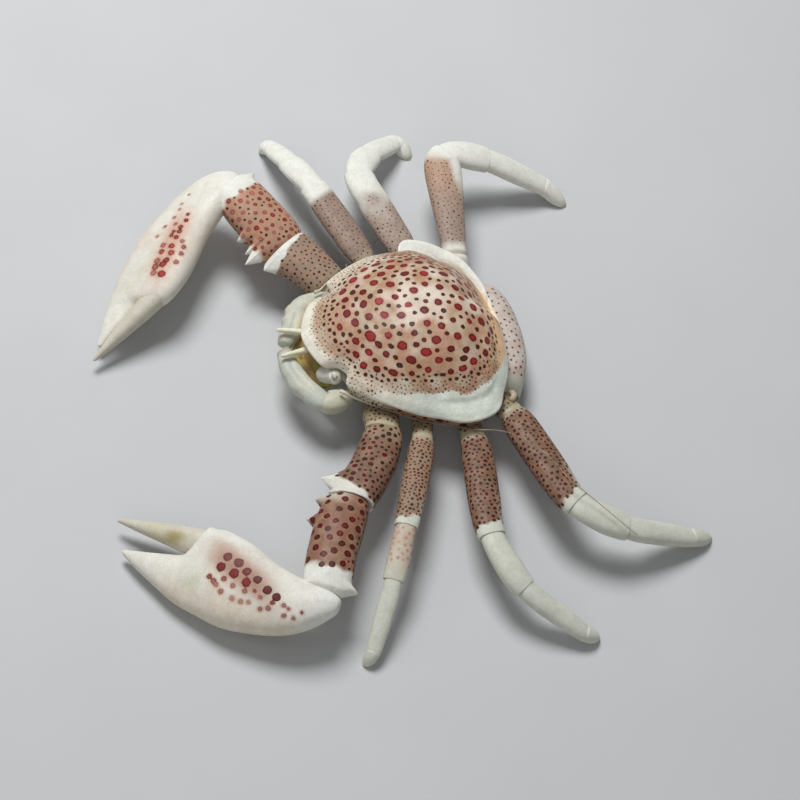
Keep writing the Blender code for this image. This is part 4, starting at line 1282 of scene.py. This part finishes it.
def make_feelers(side, sign, seed):
    start, end = (mirrored(point, sign) for point in ANTENNULE)
    line = limb_line([start, end])
    make_article("antennule_rod_" + side, line, (0, (end - start).length), sign, ANTENNULE_SHAPE, "feeler",
                 ["antennule_" + side], plain((0.78, 0.76, 0.58), WHITE, 0.4, seed, 1.0), sides=14,
                 count=12, ending="round", end_cap=0.15, matrix=BODY)
    path = rounded_path([Vector(point) for point in ANTENNA[side]], WHIP_STEPS)
    along = np.linspace(0, 1, WHIP_STEPS)
    # The first part is tucked in and down under the shell's rim.
    tucked = ramp(-0.05, 0.06, along) * ramp(0.45, 0.36, along)
    inward = unit(np.array((0, 2.5, 0)) - path * (1, 1, 0))
    path = path + tucked[:, None] * (inward * 0.45 - np.array((0, 0, 0.5)))
    halves = [0.22 - 0.02 * i if i < 7 else 0.08 - 0.04 * (i / (WHIP_STEPS - 1)) for i in range(WHIP_STEPS)]
    tube("antenna_whip_" + side, path, halves, whip_look(), "feeler", ["antenna_" + side])
    path = rounded_path([mirrored(point, sign) for point in LAST_LEG[side]], LAST_LEG_STEPS)
    halves = [0.30 + 0.13 * min(1, i / 4) - 0.006 * i for i in range(LAST_LEG_STEPS)]
    look = plain((0.46, 0.38, 0.26), (0.62, 0.56, 0.44), 0.6, seed + 2, 1.0)
    tube("leg_5_shell_" + side, path, halves, look, "shell_pale", ["leg_5_" + side], resolution=4,
         matrix=BODY)


def make_mouth_brush():
    """The olive mound of the mouth, with a coat of fine curved hairs combed forward."""
    rings = [(-y, 0.0, 0.0, half, 0.6) for y, half in MOUTH_BRUSH]
    first, last = rings[0], rings[-1]
    rings.insert(0, (first[0] - 0.1, 0.0, 0.0, first[3] * 0.6, 0.36))
    rings.append((last[0] + 0.1, 0.0, 0.0, last[3] * 0.5, 0.3))
    mound = drawn_out("mouth_mound", rings, 28, 2.6)
    points = points_of(mound)
    points = np.stack([points[:, 0], -points[:, 2], MOUTH_BRUSH_Z + points[:, 1]], axis=1)
    points[:, 2] += 0.10 * cloud(points, 1.1, 70) * (points[:, 2] > MOUTH_BRUSH_Z)
    move_points(mound, points)
    ground = mixed((0.52, 0.48, 0.15), (0.60, 0.38, 0.16), ramp(-0.3, 1.4, cloud(points, 2.2, 71)))
    paint(mound, ground)
    complete(mound, BODY, "mouth_brush", "mouth_brush")

    rng = np.random.default_rng(72)
    table = np.array(MOUTH_BRUSH)
    one = added(bpy.ops.mesh.primitive_cone_add, "one_hair", vertices=4, radius1=1.0, radius2=0.15,
                depth=1.0, location=(0, 0, 0.5))
    for cut in (0.35, 0.7):
        edit_all()
        bpy.ops.mesh.bisect(plane_co=(0, 0, cut), plane_no=(0, 0, 1))
        leave_edit()
    shape = points_of(one)
    faces = [tuple(face.vertices) for face in one.data.polygons]
    bpy.data.objects.remove(one, do_unlink=True)
    all_points, all_faces, tints = [], [], []
    for k in range(HAIRS):
        y = rng.uniform(*HAIR_ROOTS)
        half = np.interp(-y, -table[:, 0], table[:, 1])
        x = rng.uniform(-1, 1) * half * 0.95
        root = np.array((x, y, MOUTH_BRUSH_Z + 0.4 * (1 - (x / half) ** 2)))
        ahead = np.array((-0.35 * x / 4 + rng.normal() * 0.25, -1.0, 0.45 + rng.normal() * 0.2))
        ahead /= np.linalg.norm(ahead)
        length = rng.uniform(0.9, 1.7)
        side = np.cross(ahead, (0, 0, 1.0))
        side /= np.linalg.norm(side)
        rise = np.cross(side, ahead)
        z = shape[:, 2:3]
        hair = root + ahead * z * length + side * shape[:, :1] * HAIR_HALF
        hair = hair + rise * shape[:, 1:2] * HAIR_HALF
        hair -= rise * z ** 2 * length * rng.uniform(0.1, 0.4)
        all_faces += [tuple(v + len(shape) * k for v in face) for face in faces]
        all_points.append(hair)
        tints.append(np.tile(rng.uniform(0, 1), len(shape)))
    mesh = bpy.data.meshes.new("mouth_hairs")
    mesh.from_pydata(np.concatenate(all_points).tolist(), [], all_faces)
    coat = linked("mouth_hairs", mesh)
    points = points_of(coat)
    tints = np.concatenate(tints)
    ground = mixed((0.54, 0.50, 0.18), (0.76, 0.70, 0.38), tints)
    rusty = bump(points[:, 0], 1.8, 1.0, 2) * bump(points[:, 1], -10.6, 0.8, 2)
    ground = mixed(ground, (0.56, 0.30, 0.14), rusty * 0.7)
    paint(coat, ground)
    complete(coat, BODY, "mouth_brush")


def make_pleon():
    path = rounded_path([Vector((half, y, z)) for (y, z), half in zip(PLEON_PATH, PLEON_HALF_WIDTHS)],
                        PLEON_STEPS + 1)
    index = np.arange(PLEON_STEPS + 1)
    names = ("pleon_1", "pleon_2", "pleon_3", "tail_fan")
    for n, (name, first, last) in enumerate(zip(names, PLEON_CUTS[:-1], PLEON_CUTS[1:])):
        rings = [(k * 1.0, 0.0, 0.0, 1.0, 1.0) for k in range(PLEON_SEGMENTS + 1)]
        piece = drawn_out(name + "_shell", rings, 48, 2.0)
        points = points_of(piece)
        t = np.clip(points[:, 2] / PLEON_SEGMENTS, 0, 1)
        spot = PLEON_STEPS * (first + (last - first) * t)
        half, y, z = (np.interp(spot, index, path[:, axis]) for axis in range(3))
        after, before = np.minimum(spot + 1, PLEON_STEPS), np.maximum(spot - 1, 0)
        dy, dz = (np.interp(after, index, path[:, axis]) - np.interp(before, index, path[:, axis])
                  for axis in (1, 2))
        size = np.hypot(dy, dz)
        dy, dz = dy / size, dz / size
        segments = 2.0 if n < 3 else 1.0
        ridge = 1 - 0.3 * np.exp(-((((t * segments) % 1.0) - 0.03) / 0.07) ** 2)
        side, rise = points[:, 0], points[:, 1]
        flat = side * (1.5 - 0.5 * side ** 2)
        thick = 0.42 * rise * ridge * (1 - 0.6 * np.abs(flat) ** 4)
        wider = np.where(side < 0, 1 + 0.42 * ramp(9.0, 12.5, y) * (n == 0), 1)
        x = half * flat * wider * (0.93 if n == 1 else 1)
        back = np.clip((y - 6) / 5, 0, 1)
        droop = PLEON_DROOP * np.abs(flat) ** 6 * (n == 0)
        made = np.stack([x, y - dz * thick - PLEON_BOW * x ** 2 * back * np.where(x < 0, 0.72, 1),
                         z + dy * thick - droop], axis=1)
        move_points(piece, made)
        ground = all_over(points, (0.54, 0.46, 0.41) if n == 0 else (0.66, 0.58, 0.50))
        ground = mixed(ground, (0.60, 0.56, 0.52), ramp(-0.5, 1.0, cloud(made, 2.0, 40 + n)) * 0.7)
        white = ramp(4.4, 5.6, made[:, 0])
        ground = mixed(ground, (0.66, 0.66, 0.56), white)
        spots = []
        if n < 2:
            spots = dots(made, (white < 0.4) & (made[:, 0] < 5), 0.10, 0.17, 0.34, 50 + n, 0.55, 0.8)
        paint(piece, ground, *spot_distance(made, spots))
        complete(piece, BODY, "shell_pale" if n == 0 else "shell_underside", name)


def make_thorax():
    rings = [(z, 0.0, 0.0, wide, high) for z, wide, high in (
        (0.0, 2.6, 0.5), (0.3, 3.0, 0.75), (2.4, 5.9, 0.95), (4.8, 6.4, 1.05), (8.0, 6.4, 1.05),
        (11.5, 6.4, 1.05), (14.6, 6.4, 1.05), (15.9, 5.4, 0.85), (16.2, 4.8, 0.6))]
    plate = drawn_out("breast_plate", rings, 24, 3.6)
    points = points_of(plate)
    seams = np.zeros(len(points))
    for z in (3.2, 6.0, 9.2, 12.6):
        seams = np.maximum(seams, bump(points[:, 2], z + 0.01 * points[:, 0] ** 2, 0.22, 2))
    points[:, 1] *= 1 - 0.12 * seams
    dress(plate, plain((0.66, 0.58, 0.48), WHITE, 0.4, 60), points)
    line = limb_line(THORAX)
    move_points(plate, along_line(points, line, 0, 1))
    complete(plate, BODY, "shell_underside", "thorax")


make_carapace()
make_thorax()
make_pleon()
make_mouth_brush()
for turn_no, (side_name, side_sign) in enumerate((("left", 1), ("right", -1))):
    make_eye(side_name, side_sign)
    make_mouth_limb(side_name, side_sign, 100 + 40 * turn_no)
    make_feelers(side_name, side_sign, 110 + 40 * turn_no)
    make_claw(side_name, side_sign, 200 + 40 * turn_no)
    for leg_no, leg_name in enumerate(LEGS):
        make_leg(leg_name, side_name, side_sign, 300 + 100 * turn_no + 20 * leg_no)


# Floor, light and camera.

def floor_finish():
    material = bpy.data.materials.new("floor_matt")
    material.use_nodes = True
    nodes, links = material.node_tree.nodes, material.node_tree.links
    shader = nodes["Principled BSDF"]
    settle(shader, Roughness=0.7)
    texture = nodes.new("ShaderNodeTexNoise")
    settle(texture, Scale=60)
    where = nodes.new("ShaderNodeTexCoord")
    links.new(where.outputs["Object"], texture.inputs["Vector"])
    tint = nodes.new("ShaderNodeValToRGB")
    tint.color_ramp.elements[0].color = (0.52, 0.53, 0.54, 1)
    tint.color_ramp.elements[1].color = (0.56, 0.57, 0.58, 1)
    links.new(texture.outputs["Fac"], tint.inputs["Fac"])
    links.new(tint.outputs["Color"], shader.inputs["Base Color"])
    return material


floor = added(bpy.ops.mesh.primitive_plane_add, "studio_floor", size=3.0, location=(0, 0, 0))
floor.data.materials.append(floor_finish())

AZIMUTH, ELEVATION, ROLL = math.radians(68), math.radians(53), math.radians(12)
# Millimetres for each picture element at the crab, and the camera's distance.
PIXEL = 0.107
DISTANCE = 260.0
# This point of the crab falls on this picture element.
SEEN = Vector((0, 0, 6.4))
SEEN_PIXEL = (403, 335)
CENTRE_PIXEL = 400
FRAME_PIXELS = 800
SENSOR = 36

back = Vector((math.sin(AZIMUTH) * math.cos(ELEVATION), -math.cos(AZIMUTH) * math.cos(ELEVATION),
               math.sin(ELEVATION)))
level = Vector((math.cos(AZIMUTH), math.sin(AZIMUTH), 0))
steep = back.cross(level)
right = level * math.cos(ROLL) + steep * math.sin(ROLL)
above = steep * math.cos(ROLL) - level * math.sin(ROLL)
aim = SEEN - right * (SEEN_PIXEL[0] - CENTRE_PIXEL) * PIXEL + above * (SEEN_PIXEL[1] - CENTRE_PIXEL) * PIXEL

camera_data = bpy.data.cameras.new("camera")
camera_data.sensor_width = SENSOR
camera_data.lens = SENSOR * DISTANCE / (FRAME_PIXELS * PIXEL)
camera_data.clip_start = 0.01
camera_data.clip_end = 10
camera = linked("camera", camera_data)
turned = Matrix((right, above, back)).transposed().to_4x4()
camera.matrix_world = Matrix.Translation(ROW @ (aim + back * DISTANCE)) @ turned
bpy.context.scene.camera = camera


def soft_light(name, place, size, watts, tint=(1, 1, 1)):
    data = bpy.data.lights.new(name, "AREA")
    data.shape = "DISK"
    data.size = size
    data.energy = watts
    data.color = tint
    lamp = linked(name, data)
    lamp.location = place
    lamp.rotation_mode = "QUATERNION"
    lamp.rotation_quaternion = Vector(place).to_track_quat("Z", "Y")


soft_light("key_overhead", (-0.16, -0.04, 0.30), 0.16, 1.05)
soft_light("fill_camera_side", (0.30, -0.08, 0.24), 0.25, 0.20, (1.0, 0.98, 0.95))
soft_light("fill_front", (-0.05, -0.36, 0.18), 0.2, 0.12, (0.96, 0.98, 1.0))

world = bpy.context.scene.world or bpy.data.worlds.new("world")
bpy.context.scene.world = world
world.use_nodes = True
settle(world.node_tree.nodes["Background"], Color=(0.82, 0.84, 0.86, 1), Strength=0.20)
bpy.context.scene.view_settings.view_transform = "Standard"
bpy.context.scene.view_settings.look = "None"
